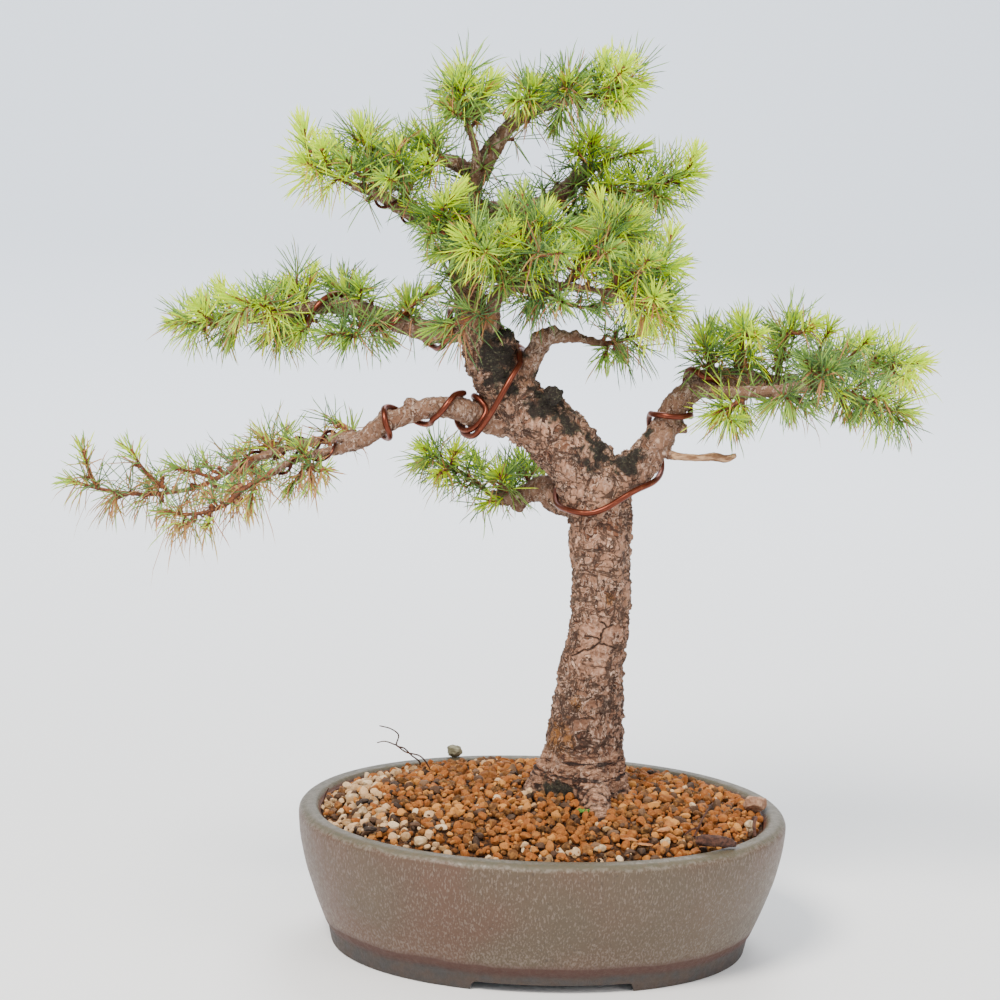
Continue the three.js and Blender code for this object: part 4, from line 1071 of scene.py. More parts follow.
def crack_shade_net(add, coords, size, width):
    """Painted shade down in long ragged cracks that cross, between plates about size millimetres across."""
    gaps = []
    for stretch in ((0.75, 0.75, 1.5), (1.5, 1.5, 0.7)):
        moved = add("Mapping", coords, stretch, stretch)
        field = add("TexNoise", moved, wide(size), 5, 0.54, 0.5)
        gaps.append(add("Math ABSOLUTE", add("Math SUBTRACT", field, 0.5)))
    return add("MapRange", add("Math MINIMUM", *gaps), width, width * 0.35)


def larch_bark(settings):
    """Old larch bark: pinkish grey layers, browner where the outer ones are gone, with a painted shadow line
    under each ragged edge and a painted highlight along it, a creased foot with painted shade down in its
    folds, painted shade in the cracks, and dry moss. Limbs are smoother, and the dead stub is bare."""
    finish = Finish("larch_bark")
    add = finish.add
    coords = add("TexCoord")
    height = add("SeparateXYZ", coords)
    grain = add("TexNoise", add("Mapping", coords, (1, 1, 0.5)), wide(2.2), 6, 0.65)
    flecks = add("TexNoise", add("Mapping", coords, (1, 1, 1.4)), wide(1.5), 5, 0.65)
    young = add("Attribute", attribute_name="young")
    foot = add("Attribute", attribute_name="foot")
    # Each gives a layer's height, a painted shadow under its edges and a painted highlight along their lip
    level, under, lip = flake_layers(add, coords, 13, 5.0, (1, 1, 0.85))
    small_level, small_shadow, small_highlight = flake_layers(add, coords, 5.5, 4.5, (1, 1, 0.9))
    loose = add("Math SUBTRACT", 1.0, add("Attribute", attribute_name="whole"))
    broken = add("Math MULTIPLY", add("MapRange", add("TexNoise", coords, wide(22), 3), 0.42, 0.54), loose)
    # Painted shade down in a net of cracks
    net = add("Math MULTIPLY", crack_shade_net(add, coords, 14, 0.032), loose)
    dark_low = add("MapRange", height, 0.185, 0.108, 0, 0.8)
    # Weathered plates, and stretches that are broken up into small flakes
    plates = add("Mix", add("MapRange", level, 0.3, 0.5), settings.warm, settings.pale)
    small = add("Mix", add("MapRange", small_level, 0.34, 0.56), "#533221", "#bc9175")
    plates = add("Mix", add("Math MULTIPLY", broken, 0.85), plates, small)
    stain = add("MapRange", add("TexNoise", add("Mapping", coords, (1, 1, 0.8)), wide(5), 7, 0.68), 0.54,
                0.62, 0, 0.4)
    plates = add("Mix", add("Math MULTIPLY", stain, loose), plates, "#513222")
    plates = add("Mix", dark_low, plates, "#472a1c")
    plates = add("Mix", add("Math MULTIPLY", add("Attribute", attribute_name="tint"), 0.45), plates,
                 settings.warm)
    plates = add("Mix", add("MapRange", grain, 0.5, 0.68, 0, 0.5), plates, "#d9b59d")
    plates = add("Mix", add("MapRange", grain, 0.46, 0.3, 0, 0.6), plates, "#5f3d2c")
    limb = add("Mix", add("MapRange", level, 0.3, 0.56), "#6e4d3a", settings.limb)
    limb = add("Mix", add("MapRange", flecks, 0.48, 0.36, 0, 0.8), limb, "#4d3121")
    limb = add("Mix", add("MapRange", grain, 0.52, 0.66, 0, 0.6), limb, "#c7b0a1")
    shade = add("Mix", young, plates, limb)
    rust = add("Mix", add("MapRange", flecks, 0.44, 0.62, 0, 0.7), settings.rust, "#5b3b22")
    shade = add("Mix", add("Attribute", attribute_name="rust"), shade, rust)
    # Creases that run round the foot, paler on their crests, with painted shade down between them
    crease = add("TexNoise", add("Mapping", coords, (0.18, 0.18, 1)), wide(2.8), 7, 0.72)
    crest = add("Mix", add("MapRange", crease, 0.56, 0.42), "#b0866b", "#54301e")
    crest = add("Mix", add("MapRange", flecks, 0.42, 0.62, 0, 0.6), crest, "#3c1f12")
    shade = add("Mix", foot, shade, crest)
    moss = add("Mix", add("MapRange", flecks, 0.5, 0.68), settings.moss, "#55523e")
    shade = add("Mix", add("Attribute", attribute_name="moss"), shade, moss)
    # Painted shadow lines under the edges and painted shade in the cracks and folds, with a painted highlight
    # along the lip over each edge
    edges = add("MapRange", add("TexNoise", coords, wide(9), 3), 0.38, 0.55, 0.15, 0.9)
    small_edges = add("Math MULTIPLY", broken, 0.85)
    lines = add("Math MAXIMUM", add("Math MULTIPLY", under, edges),
                add("Math MULTIPLY", small_shadow, small_edges))
    highlights = add("Math MAXIMUM", add("Math MULTIPLY", lip, edges), add("Math MULTIPLY", small_highlight, small_edges))
    worn = add("MapRange", young, 0.2, 1.0, 1.0, 0.7)
    lines = add("Math MULTIPLY", lines, worn)
    # Painted shade down in the foot's folds
    crease_shade = add("Math MULTIPLY", add("MapRange", crease, 0.45, 0.4), foot)
    # Painted shade in the cracks, less on young wood
    cracks = add("Math MULTIPLY", net, add("Math SUBTRACT", 0.85, young))
    lines = add("Math MULTIPLY", add("Math MAXIMUM", lines, cracks),
                add("Math SUBTRACT", 1.0, add("Math MULTIPLY", foot, 0.5)))
    lines = add("Math MAXIMUM", lines, crease_shade)
    # Painted shade that the mesh stores: under each layer's edge, in the open cracks and in the folds across
    # the roots
    lines = add("Math MAXIMUM", lines, add("Attribute", attribute_name="crack_shade"))
    hidden = add("Math SUBTRACT", 1.0, add("Attribute", attribute_name="moss"))
    highlights = add("Math MULTIPLY", add("Math MULTIPLY", highlights, worn), hidden)
    # Painted highlight along the lip, then painted shade darkening the lines
    shade = add("Mix", add("Math MULTIPLY", highlights, 0.45), shade, "#dcbfab")
    shade = add("Mix", add("Math MULTIPLY", lines, 0.94), shade, settings.crack_shade)
    streaks = add("TexNoise", add("Mapping", coords, (0.22, 1, 1)), wide(2.5), 5, 0.6)
    bare = add("Mix", add("MapRange", streaks, 0.36, 0.6), "#704f37", "#b89370")
    shade = add("Mix", add("Attribute", attribute_name="bare"), shade, bare)
    layers = add("Math ADD", add("Math MULTIPLY", level, 2.4), add("Math MULTIPLY", small_level, small_edges))
    relief = add("Math ADD", add("Math MULTIPLY", layers, worn),
                 add("Math MULTIPLY", add("Math ADD", flecks, grain), 0.4))
    relief = add("Math SUBTRACT", relief, add("Math MULTIPLY", lines, 0.5))
    return finish.close({"Base Color": shade, "Roughness": 0.88, "IOR": 1.45,
                         "Normal": add("Bump", relief, 0.8, 1.2 * MM)})


def patch_share(places, patches):
    """How far each place lies in any of the patches, with a ragged edge, from 0 to 1."""
    share = np.zeros(len(places))
    ragged = fractals(places, 6, 0.7, 4)
    for x, y, z, radius in patches:
        away = np.linalg.norm(places - np.array([x, y, z]), axis=1) / radius
        share = np.maximum(share, np.clip((1.0 - away + ragged * 0.55) * 4, 0, 1))
    return share


def open_cracks(places):
    """How deep each place lies in one of the trunk's open cracks, from 0 to 1."""
    waver = np.column_stack([noises(places, 3), noises(places[:, ::-1], 3)])
    flat = places[:, [0, 2]] + waver * 0.9
    least = np.full(len(places), np.inf)
    for line in CRACKS:
        for start, end in zip(np.array(line, float), np.array(line[1:], float)):
            span = end - start
            share = np.clip((flat - start) @ span / span.dot(span), 0, 1)
            least = np.minimum(least, np.linalg.norm(flat - start - share[:, None] * span, axis=1))
    return np.clip(1.9 - least / CRACK_WIDTH, 0, 1) * (places[:, 1] < -4)


class BonsaiTree(bpy.types.Operator):
    """Fuses the limbs into one tree and breaks its surface into bark plates"""
    bl_idname = "bonsai.tree"
    bl_label = "Tree"

    def execute(self, context):
        settings = context.scene.bonsai_bark
        piece = tubes("larch_wood", [smooth_line(limb, 2.5) for limb in LIMBS.values()], 20)
        balls = []
        for x, y, z, radius in KNOBS:
            deselect()
            bpy.ops.mesh.primitive_ico_sphere_add(subdivisions=3, radius=radius * MM,
                                                  location=to_metres([x, y, z]))
            bpy.ops.object.transform_apply(location=True)
            balls.append(active("knob"))
        piece = join("larch_wood", [piece] + balls)
        finish_with(piece, "REMESH", mode="VOXEL", voxel_size=settings.detail, use_smooth_shade=True)
        finish_with(piece, "SMOOTH", factor=0.5, iterations=5)
        self.refine_cracked(piece)
        self.add_bark(piece, settings)
        finish_with(piece, "DECIMATE", ratio=BARK_FACES_KEPT)
        dress(piece, larch_bark(settings), "bark", "tree")
        return {"FINISHED"}

    @staticmethod
    def refine_cracked(piece):
        """Gives the front of the trunk cells fine enough for its open cracks."""
        choose(piece)
        places = in_millimetres(piece)
        ends = np.array([point for line in CRACKS for point in line], float)
        low, high = ends.min(0) - CRACK_MARGIN, ends.max(0) + CRACK_MARGIN
        inside = ((places[:, [0, 2]] > low) & (places[:, [0, 2]] < high)).all(1) & (places[:, 1] < 0)
        for face in piece.data.polygons:
            face.select = bool(inside[list(face.vertices)].all())
        bpy.ops.object.mode_set(mode="EDIT")
        bpy.ops.mesh.select_mode(type="FACE")
        bpy.ops.mesh.subdivide(number_cuts=2)
        bpy.ops.object.mode_set(mode="OBJECT")

    @staticmethod
    def add_bark(piece, settings):
        """Raises plates and cracks on the wood, and stores what the material needs to know."""
        places = in_millimetres(piece)
        index = WOOD.nearest(places)[0]
        radius = WOOD.rows[index, 3]
        away = places - WOOD.rows[index, :3]
        across = np.column_stack([(away * WOOD.normals[index]).sum(1), (away * WOOD.sides[index]).sum(1)])
        across *= (radius / np.maximum(np.linalg.norm(across, axis=1), 0.1))[:, None]
        along = WOOD.travelled[index] + (away * WOOD.along[index]).sum(1)
        young = np.clip((11.5 - radius) / 4, 0, 1)
        bare = (WOOD.names[index] == "dead_stub") & (WOOD.travelled[index] > 12)
        foot = np.clip((FOOT_TOP - places[:, 2]) / 16, 0, 1)
        plate = settings.plate / MM
        rows = [bark_layers(Vector(here), plate * (1 - 0.5 * soft))
                for here, soft in zip(np.column_stack([across, along]), young)]
        # The third is the painted shadow line under each layer's edge
        height, tint, crack_shade = np.array(rows).T
        # Flat-lying ridges round the trunk's foot, rings round the limbs and folds across the roots
        waver = fractals(places, 14, 0.6, 3)
        ridges = fractals(places / [16, 16, 4], 1, 0.8, 3)
        rings = np.sin((along / LIMB_RING + waver * 0.9) * 2 * math.pi)
        root = np.char.startswith(WOOD.names[index], "root") & (WOOD.travelled[index] > 5)
        folds = np.sin((along / ROOT_FOLD + waver * 0.8) * 2 * math.pi) * root
        height = height * (1 - 0.4 * foot) * (1 - 0.7 * root) + 2.4 * foot * ridges * (1 - 0.5 * root)
        height += 0.6 * young * rings * (1 - bare) * (1 - foot) + 1.9 * folds
        opened = open_cracks(places)
        height -= CRACK_DEPTH * opened
        # Flakes that have curled up stand off the trunk
        curled = fractals(places / [5, 5, 9], 1, 0.7, 3)
        height += np.clip((curled - 0.28) * 9, 0, 1) * 2.6 * (1 - young)
        lumps = noises(places, 24) * np.clip(radius / 12, 0.2, 1) * 0.9
        scale = settings.depth / MM * (1 - 0.6 * young)
        relief = (height * scale * (1 - 0.7 * bare) + lumps - 0.2)[:, None] * vertex_normals(piece)
        set_coordinates(piece, coordinates(piece) + relief * MM)
        ragged = noises(places, 5)
        # Painted shade down in the folds across the roots
        crease_shade = -3 * folds - 1.7 - ragged * 2
        shares = {
            "tint": tint, "young": young, "bare": bare,
            "foot": (FOOT_TOP - 4 - places[:, 2]) / 6 + ragged,
            # Painted shade: under each layer's edge, down in the open cracks and in the root folds
            "crack_shade": np.maximum(np.maximum(crack_shade * 0.5, opened), crease_shade),
            "moss": patch_share(places, MOSS), "whole": patch_share(places, WHOLE),
            "rust": patch_share(places, RUST) * np.clip(0.9 + ragged, 0, 1),
        }
        for name, values in shares.items():
            set_attribute(piece, name, np.clip(values, 0, 1))


def bark_layers(here, size):
    """The height in layers, the tint and the painted shade of the bark at a place on the straightened limb.
    Bark flakes off in layers, so its relief runs in steps, with a painted shadow line under each."""
    warp = noise.noise_vector(here / 8) * 3 + noise.noise_vector(here / 3) * 0.8
    moved = here + warp
    moved.z *= 1.3
    broad = noise.fractal(moved / size, 0.8, 2.1, 4) * 5.5
    fine = noise.fractal(moved / (size * 0.36) + Vector((9, 4, 7)), 0.8, 2.1, 3) * 3.0
    height, line = 0.0, 0.0
    for field, weight in ((broad, 1.0), (fine, 0.5)):
        step = math.floor(field)
        rest = field - step
        height += weight * (step + min(1, max(0, (rest - 0.8) / 0.2)))
        line = max(line, (0.45 + 0.4 * weight) * max(0.0, 1 - abs(rest - 0.82) / 0.16))
    rough = noise.fractal(here / 2.4, 0.7, 2.1, 4)
    layer = noise.cell(Vector((math.floor(broad) * 3.7 + 0.5, 0.5, 0.5)))
    tint = 0.42 - 0.1 * broad + 0.22 * layer + 0.4 * rough
    return min(2.2, max(-2.2, height)) + 0.5 * rough, tint, line * (0.62 - 0.5 * rough)


def wound(limb, knots, radius):
    """Points of a wire wound on a limb."""
    points = []
    rows = np.array(limb, float)
    for (from_place, from_turn), (to_place, to_turn) in zip(knots, knots[1:]):
        steps = max(1, round(abs(to_turn - from_turn) * WIRE_STEPS_PER_TURN))
        for share in np.arange(1 if points else 0, steps + 1) / steps:
            place = from_place + (to_place - from_place) * share
            turn = (from_turn + (to_turn - from_turn) * share) * 2 * math.pi
            row, way = row_at(rows, place)
            up = unit(np.array([0, 0, 1.0]) - way * way[2])
            reach = row[3] * (1 + WIRE_LIFT_SHARE) + radius + WIRE_LIFT
            points.append(row[:3] + turned(up, np.cross(way, up), turn) * reach)
    return points


def on_bark(points, radius):
    """Moves a wire's points out of the wood until the wire lies on the bark."""
    places = np.array(points)
    for _ in range(8):
        index, gap = WOOD.nearest(places)
        short = np.clip(radius + WIRE_LIFT + WOOD.rows[index, 3] * WIRE_LIFT_SHARE - gap, 0, None)
        away = places - WOOD.rows[index, :3]
        away /= np.maximum(np.linalg.norm(away, axis=1), 0.01)[:, None]
        places = places + away * short[:, None]
    return places


def annealed_copper(name, base):
    """Anodised bonsai wire: brown copper with a satin shine and rubbed brighter lines."""
    finish = Finish(name)
    add = finish.add
    coords = add("TexCoord")
    worn = add("TexNoise", coords, wide(4), 4)
    shade = add("Mix", add("MapRange", worn, 0.54, 0.72, 0, 0.6), base, "#91563d")
    return finish.close({"Base Color": shade, "Metallic": 0.8, "Roughness": 0.34,
                         "Normal": add("Bump", add("TexNoise", coords, wide(1.5), 3), 0.3, 0.15 * MM)})


class BonsaiWires(bpy.types.Operator):
    """Winds the copper wires round the limbs"""
    bl_idname = "bonsai.wires"
    bl_label = "Wires"

    def execute(self, context):
        settings = context.scene.bonsai_wire
        thick = annealed_copper("anodised_copper_wire", settings.thick)
        thin = annealed_copper("thin_anodised_copper_wire", settings.thin)
        for name, (radius, stretches) in WIRES.items():
            route = []
            for stretch in stretches:
                route += wound(*stretch, radius) if isinstance(stretch, tuple) else stretch
            line = smooth_line(on_bark(route, radius), 2.0)
            line = on_bark(line, radius)
            line[1:-1] = (line[:-2] + 2 * line[1:-1] + line[2:]) / 4
            rows = np.column_stack([line, np.full(len(line), radius)])
            piece = tubes(name.replace("wire", "copper"), [rows], 12)
            material = thick if radius == THICK_WIRE else thin
            dress(piece, material, "anodised_wire", name, smooth=50)
        return {"FINISHED"}


def larch_needles(settings):
    """Soft larch needles: thin, slightly waxy and lit through, lime when new and darker with age."""
    finish = Finish("larch_needles")
    add = finish.add
    coords = add("TexCoord")
    fresh = add("Attribute", attribute_name="fresh")
    shade = add("Mix", add("MapRange", fresh, 0.05, 0.5), settings.green, "#8aaf50")
    shade = add("Mix", add("MapRange", fresh, 0.5, 0.9), shade, settings.lime)
    mottle = add("TexNoise", coords, wide(5), 3)
    shade = add("Mix", add("MapRange", mottle, 0.4, 0.65, 0, 0.12), shade, "#769a4c")
    shade = add("Mix", add("Attribute", attribute_name="dry"), shade, settings.dry)
    return finish.close({"Base Color": shade, "Roughness": 0.6, "Specular IOR Level": 0.12,
                         "Subsurface Weight": 0.35, "Subsurface Radius": (0.0012, 0.0016, 0.0004),
                         "Subsurface Scale": 1.0})


def twig_bark(settings):
    """Young larch shoots: thin red-brown bark, paler on the ridges."""
    finish = Finish("larch_twig_bark")
    add = finish.add
    coords = add("TexCoord")
    grain = add("TexNoise", coords, wide(2.2), 5, 0.6)
    shade = add("Mix", add("MapRange", grain, 0.35, 0.6), settings.twig, "#4a2a1b")
    shade = add("Mix", add("MapRange", grain, 0.55, 0.75, 0, 0.6), shade, "#af8b6c")
    return finish.close({"Base Color": shade, "Roughness": 0.8, "IOR": 1.45,
                         "Normal": add("Bump", grain, 0.7, 0.5 * MM)})


def needle_shape():
    """One needle, one unit long: slim and three-sided, widest below its middle."""
    return stretched_shape("needle", 3, 0.7, ((0.25, 1.3), (0.57, 0.85), (0.18, 0.0)), pointed=True)


def spur_shape():
    """One short shoot, one unit long: a knobbly peg with a ring for each year."""
    return stretched_shape("spur", 6, 0.8, ((0.3, 1.35), (0.15, 0.75), (0.25, 1.4), (0.2, 0.85), (0.1, 0.5)))


GOLDEN_TURN = math.radians(137.5)
# The new growth at a shoot's end is this long, and needles may go past the frame's box by this share
PLUME_REACH = 10
BOX_SLACK = 0.02
# A needle is a row of these. A short shoot is a row of the first five
NEEDLE_ROOT, NEEDLE_WAY, NEEDLE_BEND, NEEDLE_SPAN, NEEDLE_WIDTH, NEEDLE_FRESH, NEEDLE_DRY = range(7)


class Foliage:
    """The twigs, short shoots and needles of one part of the tree, gathered before they are made meshes."""

    def __init__(self, region, settings):
        self.random = Random("larch " + region)
        self.settings = settings
        self.dry, self.fullness, self.filler_pitch, self.curl = FULLNESS[region]
        self.twigs, self.pegs, self.needles = [], [], []
        for spray in SPRAYS[region].values():
            self.grow_spray(*spray)
        for limb, stretch in TUFTED[region].items():
            self.grow_on_limb(np.array(LIMBS[limb], float), *stretch)

    def needle(self, root, way, size, fresh, width=1.0):
        """One needle. It curves a little, mostly down, and dry ones curl."""
        random = self.random
        span = self.settings.needle_length / MM * size * random.uniform(0.8, 1.12)
        sag = -0.22 if way[2] < 0 else -0.04
        bend = np.array([random.gauss(0, 0.13), random.gauss(0, 0.13), random.gauss(sag, 0.13)]) * self.curl
        dry = random.random() < self.dry * (1.5 if way[2] < 0 else 0.6)
        if dry:
            bend = bend * 2 + np.array([0, 0, -random.uniform(0.1, 0.6)])
            span *= random.uniform(0.6, 0.95)
        bend -= way * bend.dot(way)
        shade = min(1, max(0, fresh + random.gauss(0, 0.16)))
        dryness = random.uniform(0.65, 1) if dry else max(0, random.gauss(-0.06, 0.1))
        self.needles.append((root, way, bend, span, width, shade, dryness))

    def peg(self, root, way, span, radius):
        """One short shoot."""
        self.pegs.append((root, way, np.zeros(3), span, radius))

    def tuft(self, root, axis, count, leans, fresh, size=1.0):
        """A rosette of needles round an axis."""
        random = self.random
        first, second = square_ways(axis)
        for i in range(count):
            turn = i * GOLDEN_TURN + random.uniform(-0.4, 0.4)
            lean = math.radians(leans[0] + (leans[1] - leans[0]) * math.sqrt((i + 0.5) / count)
                                + random.gauss(0, 8))
            outwards = turned(first, second, turn)
            self.needle(root + outwards * 0.8, turned(axis, outwards, lean), size, fresh, 0.8)

    def brush(self, rows, start, end, pitch, leans, fresh, size, width):
        """Single needles all round a stretch of shoot, at a lean that changes along it."""
        random = self.random
        length_so_far = travelled(rows)
        along, normals, sides = frames_along(rows[:, :3])
        place = start
        turn = random.uniform(0, 6.28)
        while place < end:
            share = (place - start) / (end - start)
            centre = np.array([np.interp(place, length_so_far, rows[:, k]) for k in range(3)])
            i = min(int(np.searchsorted(length_so_far, place)), len(rows) - 1)
            turn += GOLDEN_TURN + random.uniform(-0.4, 0.4)
            outwards = turned(normals[i], sides[i], turn)
            lean = math.radians(leans[0] + (leans[1] - leans[0]) * share + random.gauss(0, 8))
            way = turned(along[i], outwards, lean)
            self.needle(centre + outwards * rows[i, 3] * 0.8, way, size, fresh, width)
            place += pitch * random.uniform(0.6, 1.4)

    def plume(self, rows, fresh):
        """The new growth at a shoot's end: close needles swept forwards, like a brush."""
        random = self.random
        end = travelled(rows)[-1]
        start = max(0, end - PLUME_REACH)
        size = random.uniform(0.52, 0.74)
        fresh += random.gauss(0, 0.06)
        self.brush(rows, start, end, 0.34 / self.fullness, (56, 15), fresh, size, 1.05)
        axis = unit(rows[-1, :3] - rows[-2, :3])
        self.peg(rows[-1, :3] - axis * 3, axis, 4, 1.5)
        self.tuft(rows[-1, :3], axis, round(13 * self.fullness), (2, 26), fresh, size * 0.95)

    def spurs(self, rows, start, stop, fresh, count, pitch_share):
        """Short shoots with rosettes along a twig."""
        random = self.random
        length_so_far = travelled(rows)
        along, normals, sides = frames_along(rows[:, :3])
        place = start + random.uniform(0, 3)
        turn = random.uniform(0, 6.28)
        while place < length_so_far[-1] - stop:
            i = min(int(np.searchsorted(length_so_far, place)), len(rows) - 1)
            turn += GOLDEN_TURN + random.uniform(-0.3, 0.3)
            outwards = turned(normals[i], sides[i], turn)
            axis = unit(outwards + along[i] * random.uniform(0.1, 0.6) + np.array([0, 0, 0.3]))
            root = rows[i, :3] + outwards * rows[i, 3] * 0.8
            span = random.uniform(3, 5.5)
            self.peg(root, axis, span, random.uniform(1.2, 1.8))
            number = max(5, round((count + random.randrange(-4, 5)) * self.fullness ** 0.5))
            self.tuft(root + axis * span * 0.9, axis, number, (8, 80), fresh, random.uniform(0.75, 1.05))
            place += self.settings.tuft_pitch / MM * pitch_share * random.uniform(0.75, 1.3)

    def grow_spray(self, core, tips, fresh, share=1.0):
        """A twig with its side shoots, and a share of the usual growth along it."""
        line = smooth_line(core, 3)
        line = np.column_stack([line, np.linspace(1.7, 1.0, len(line))])
        self.twigs.append(line)
        self.plume(line, fresh + 0.28)
        self.spurs(line, 7, 9, fresh * 0.4, 12, 0.9 / self.fullness ** 0.5 / share)
        for tip in tips:
            end = np.array(tip[:3], float)
            own = tip[3] if len(tip) > 3 else fresh
            shoot = self.shoot(self.fork(line, end), end, 1.25)
            self.plume(shoot, own + 0.28)
            span = travelled(shoot)[-1]
            self.brush(shoot, 4, max(5, span - 9), 1.75 / self.fullness, (66, 54), own * 0.55, 0.85, 0.8)
            self.spurs(shoot, 6, 12, own * 0.4, 10, 1.4)
        self.fill_in(line, fresh, share)

    def shoot(self, start, end, radius):
        """A side shoot that sags a little, as rows of its line."""
        random = self.random
        middle = (start + end) / 2 + np.array([random.gauss(0, 1.2) for _ in range(3)]) - [0, 0, 1.5]
        shoot = smooth_line([start, middle, end], 2.5)
        shoot = np.column_stack([shoot, np.linspace(radius, radius * 0.68, len(shoot))])
        self.twigs.append(shoot)
        return shoot

    def fill_in(self, line, fresh, share):
        """Short leafy shoots all round a twig, mostly old and dark, a few of them new."""
        random = self.random
        along, normals, sides = frames_along(line[:, :3])
        count = round(travelled(line)[-1] / self.filler_pitch * share)
        for number in range(count):
            i = min(len(line) - 1, int((0.15 + (number + random.random()) / count * 0.72) * len(line)))
            turn = number * GOLDEN_TURN + random.uniform(-0.5, 0.5)
            way = turned(normals[i], sides[i], turn)
            way = unit(way + along[i] * random.uniform(0.3, 1.0) + np.array([0, 0, 0.15]))
            start = line[i, :3]
            shoot = self.shoot(start, start + way * random.uniform(4, 10), 0.8)
            own = fresh + 0.2 if random.random() < 0.3 * fresh + 0.1 else fresh * random.uniform(0.2, 0.6)
            size = random.uniform(0.75, 1.15)
            self.brush(shoot, 1, travelled(shoot)[-1], 1.0 / self.fullness, (66, 30), own, size, 0.78)
            self.tuft(shoot[-1, :3], way, round(8 * self.fullness), (4, 44), own, size)

    @staticmethod
    def fork(line, tip):
        """The point of a twig that a side shoot starts from, so that the shoot leans forwards."""
        along = frames_along(line[:, :3])[0]
        best, least = line[0, :3], math.inf
        for i in range(1, max(2, len(line) - 2)):
            span = tip - line[i, :3]
            distance = np.linalg.norm(span)
            lean = span.dot(along[i]) / distance
            score = distance * (1 + 1.5 * max(0, 0.5 - lean))
            if score < least:
                best, least = line[i, :3], score
        return best

    def grow_on_limb(self, limb, first, last, fresh, pitch_share):
        """Short shoots that sit on a limb itself."""
        places = np.linspace(first, last, max(3, int((last - first) * 4)))
        rows = np.array([row_at(limb, place)[0] for place in places])
        self.spurs(rows, 1, 1, fresh * 0.5, 12, pitch_share)


def needle_places(shape, needles, width):
    """The vertices of every needle."""
    local = shape[0]
    roots, ways, bends, spans, widths = (np.array([row[i] for row in needles])
                                         for i in (NEEDLE_ROOT, NEEDLE_WAY, NEEDLE_BEND, NEEDLE_SPAN,
                                                   NEEDLE_WIDTH))
    spans, widths = spans[:, None, None], widths[:, None, None]
    firsts = np.array([square_ways(way)[0] for way in ways])
    seconds = np.cross(ways, firsts)
    rise = local[:, 2][None, :, None]
    places = roots[:, None] + ways[:, None] * rise * spans + bends[:, None] * rise ** 2 * spans
    section = firsts[:, None] * local[:, 0][None, :, None] + seconds[:, None] * local[:, 1][None, :, None]
    return places + section * widths * width


class BonsaiFoliage(bpy.types.Operator):
    """Grows the twigs, their short shoots and every needle"""
    bl_idname = "bonsai.foliage"
    bl_label = "Foliage"

    def execute(self, context):
        settings = context.scene.bonsai_foliage
        needle = needle_shape()
        peg = spur_shape()
        needle_finish = larch_needles(settings)
        twig_finish = twig_bark(settings)
        low, high = (np.array(corner) for corner in CAD_BOX)
        for region, sprays in SPRAYS.items():
            foliage = Foliage(region, settings)
            needles = self.inside(foliage.needles, low, high)
            places = needle_places(needle, needles, settings.needle_width / MM / 2)
            piece = copies("needles_" + region, needle, places, {
                "fresh": [row[NEEDLE_FRESH] for row in needles], "dry": [row[NEEDLE_DRY] for row in needles]})
            nodes = ["spray_" + "_".join(word for word in (region, name) if word) for name in sprays]
            dress(piece, needle_finish, "needles", *nodes, smooth=80)
            twigs = tubes("twigs_" + region, foliage.twigs, 6)
            pegs = copies("pegs_" + region, peg, needle_places(peg, foliage.pegs, 1.0), {})
            dress(join("twigs_" + region, [twigs, pegs]), twig_finish, "bark", smooth=50)
        return {"FINISHED"}

    @staticmethod
    def inside(needles, low, high):
        """Keeps the needles that stay in the frame's box and out of the wood."""
        tips = np.array([row[NEEDLE_ROOT] + (row[NEEDLE_WAY] + row[NEEDLE_BEND]) * row[NEEDLE_SPAN]
                         for row in needles])
        middles = np.array([row[NEEDLE_ROOT] + row[NEEDLE_WAY] * row[NEEDLE_SPAN] * 0.6 for row in needles])
        metres = to_metres(tips)
        slack = (high - low) * BOX_SLACK
        fits = ((metres > low - slack) & (metres < high + slack)).all(1)
        clear = (WOOD.nearest(tips)[1] > 0) & (WOOD.nearest(middles)[1] > 0)
        return [row for row, keep in zip(needles, fits & clear) if keep]


def plain_finish(name, base, other, size, roughness=0.9):
    """A mottled natural surface."""
    finish = Finish(name)
    add = finish.add
    coords = add("TexCoord")
    grain = add("TexNoise", coords, wide(size), 5, 0.6)
    shade = add("Mix", add("MapRange", grain, 0.35, 0.65), base, other)
    return finish.close({"Base Color": shade, "Roughness": roughness, "IOR": 1.45,
                         "Normal": add("Bump", grain, 0.8, size * 0.3 * MM)})


def rough_stone(name, centre, size, turn, seed, detail=5):
    """A stone from a ball cut back by flats and roughened."""
    piece, places = chipped_ball(name, detail, Random(seed), 10, 0.9, 0.92)
    rough = [1 + 0.1 * noise.fractal(Vector(place) * 2.2, 0.6, 2.0, 5) for place in places]
    places = places * np.array(rough)[:, None] * size
    cos, sin = math.cos(turn), math.sin(turn)
    places = np.column_stack([places[:, 0] * cos - places[:, 1] * sin,
                              places[:, 0] * sin + places[:, 1] * cos, places[:, 2]])
    set_coordinates(piece, to_metres(places + np.array(centre)))
    return piece


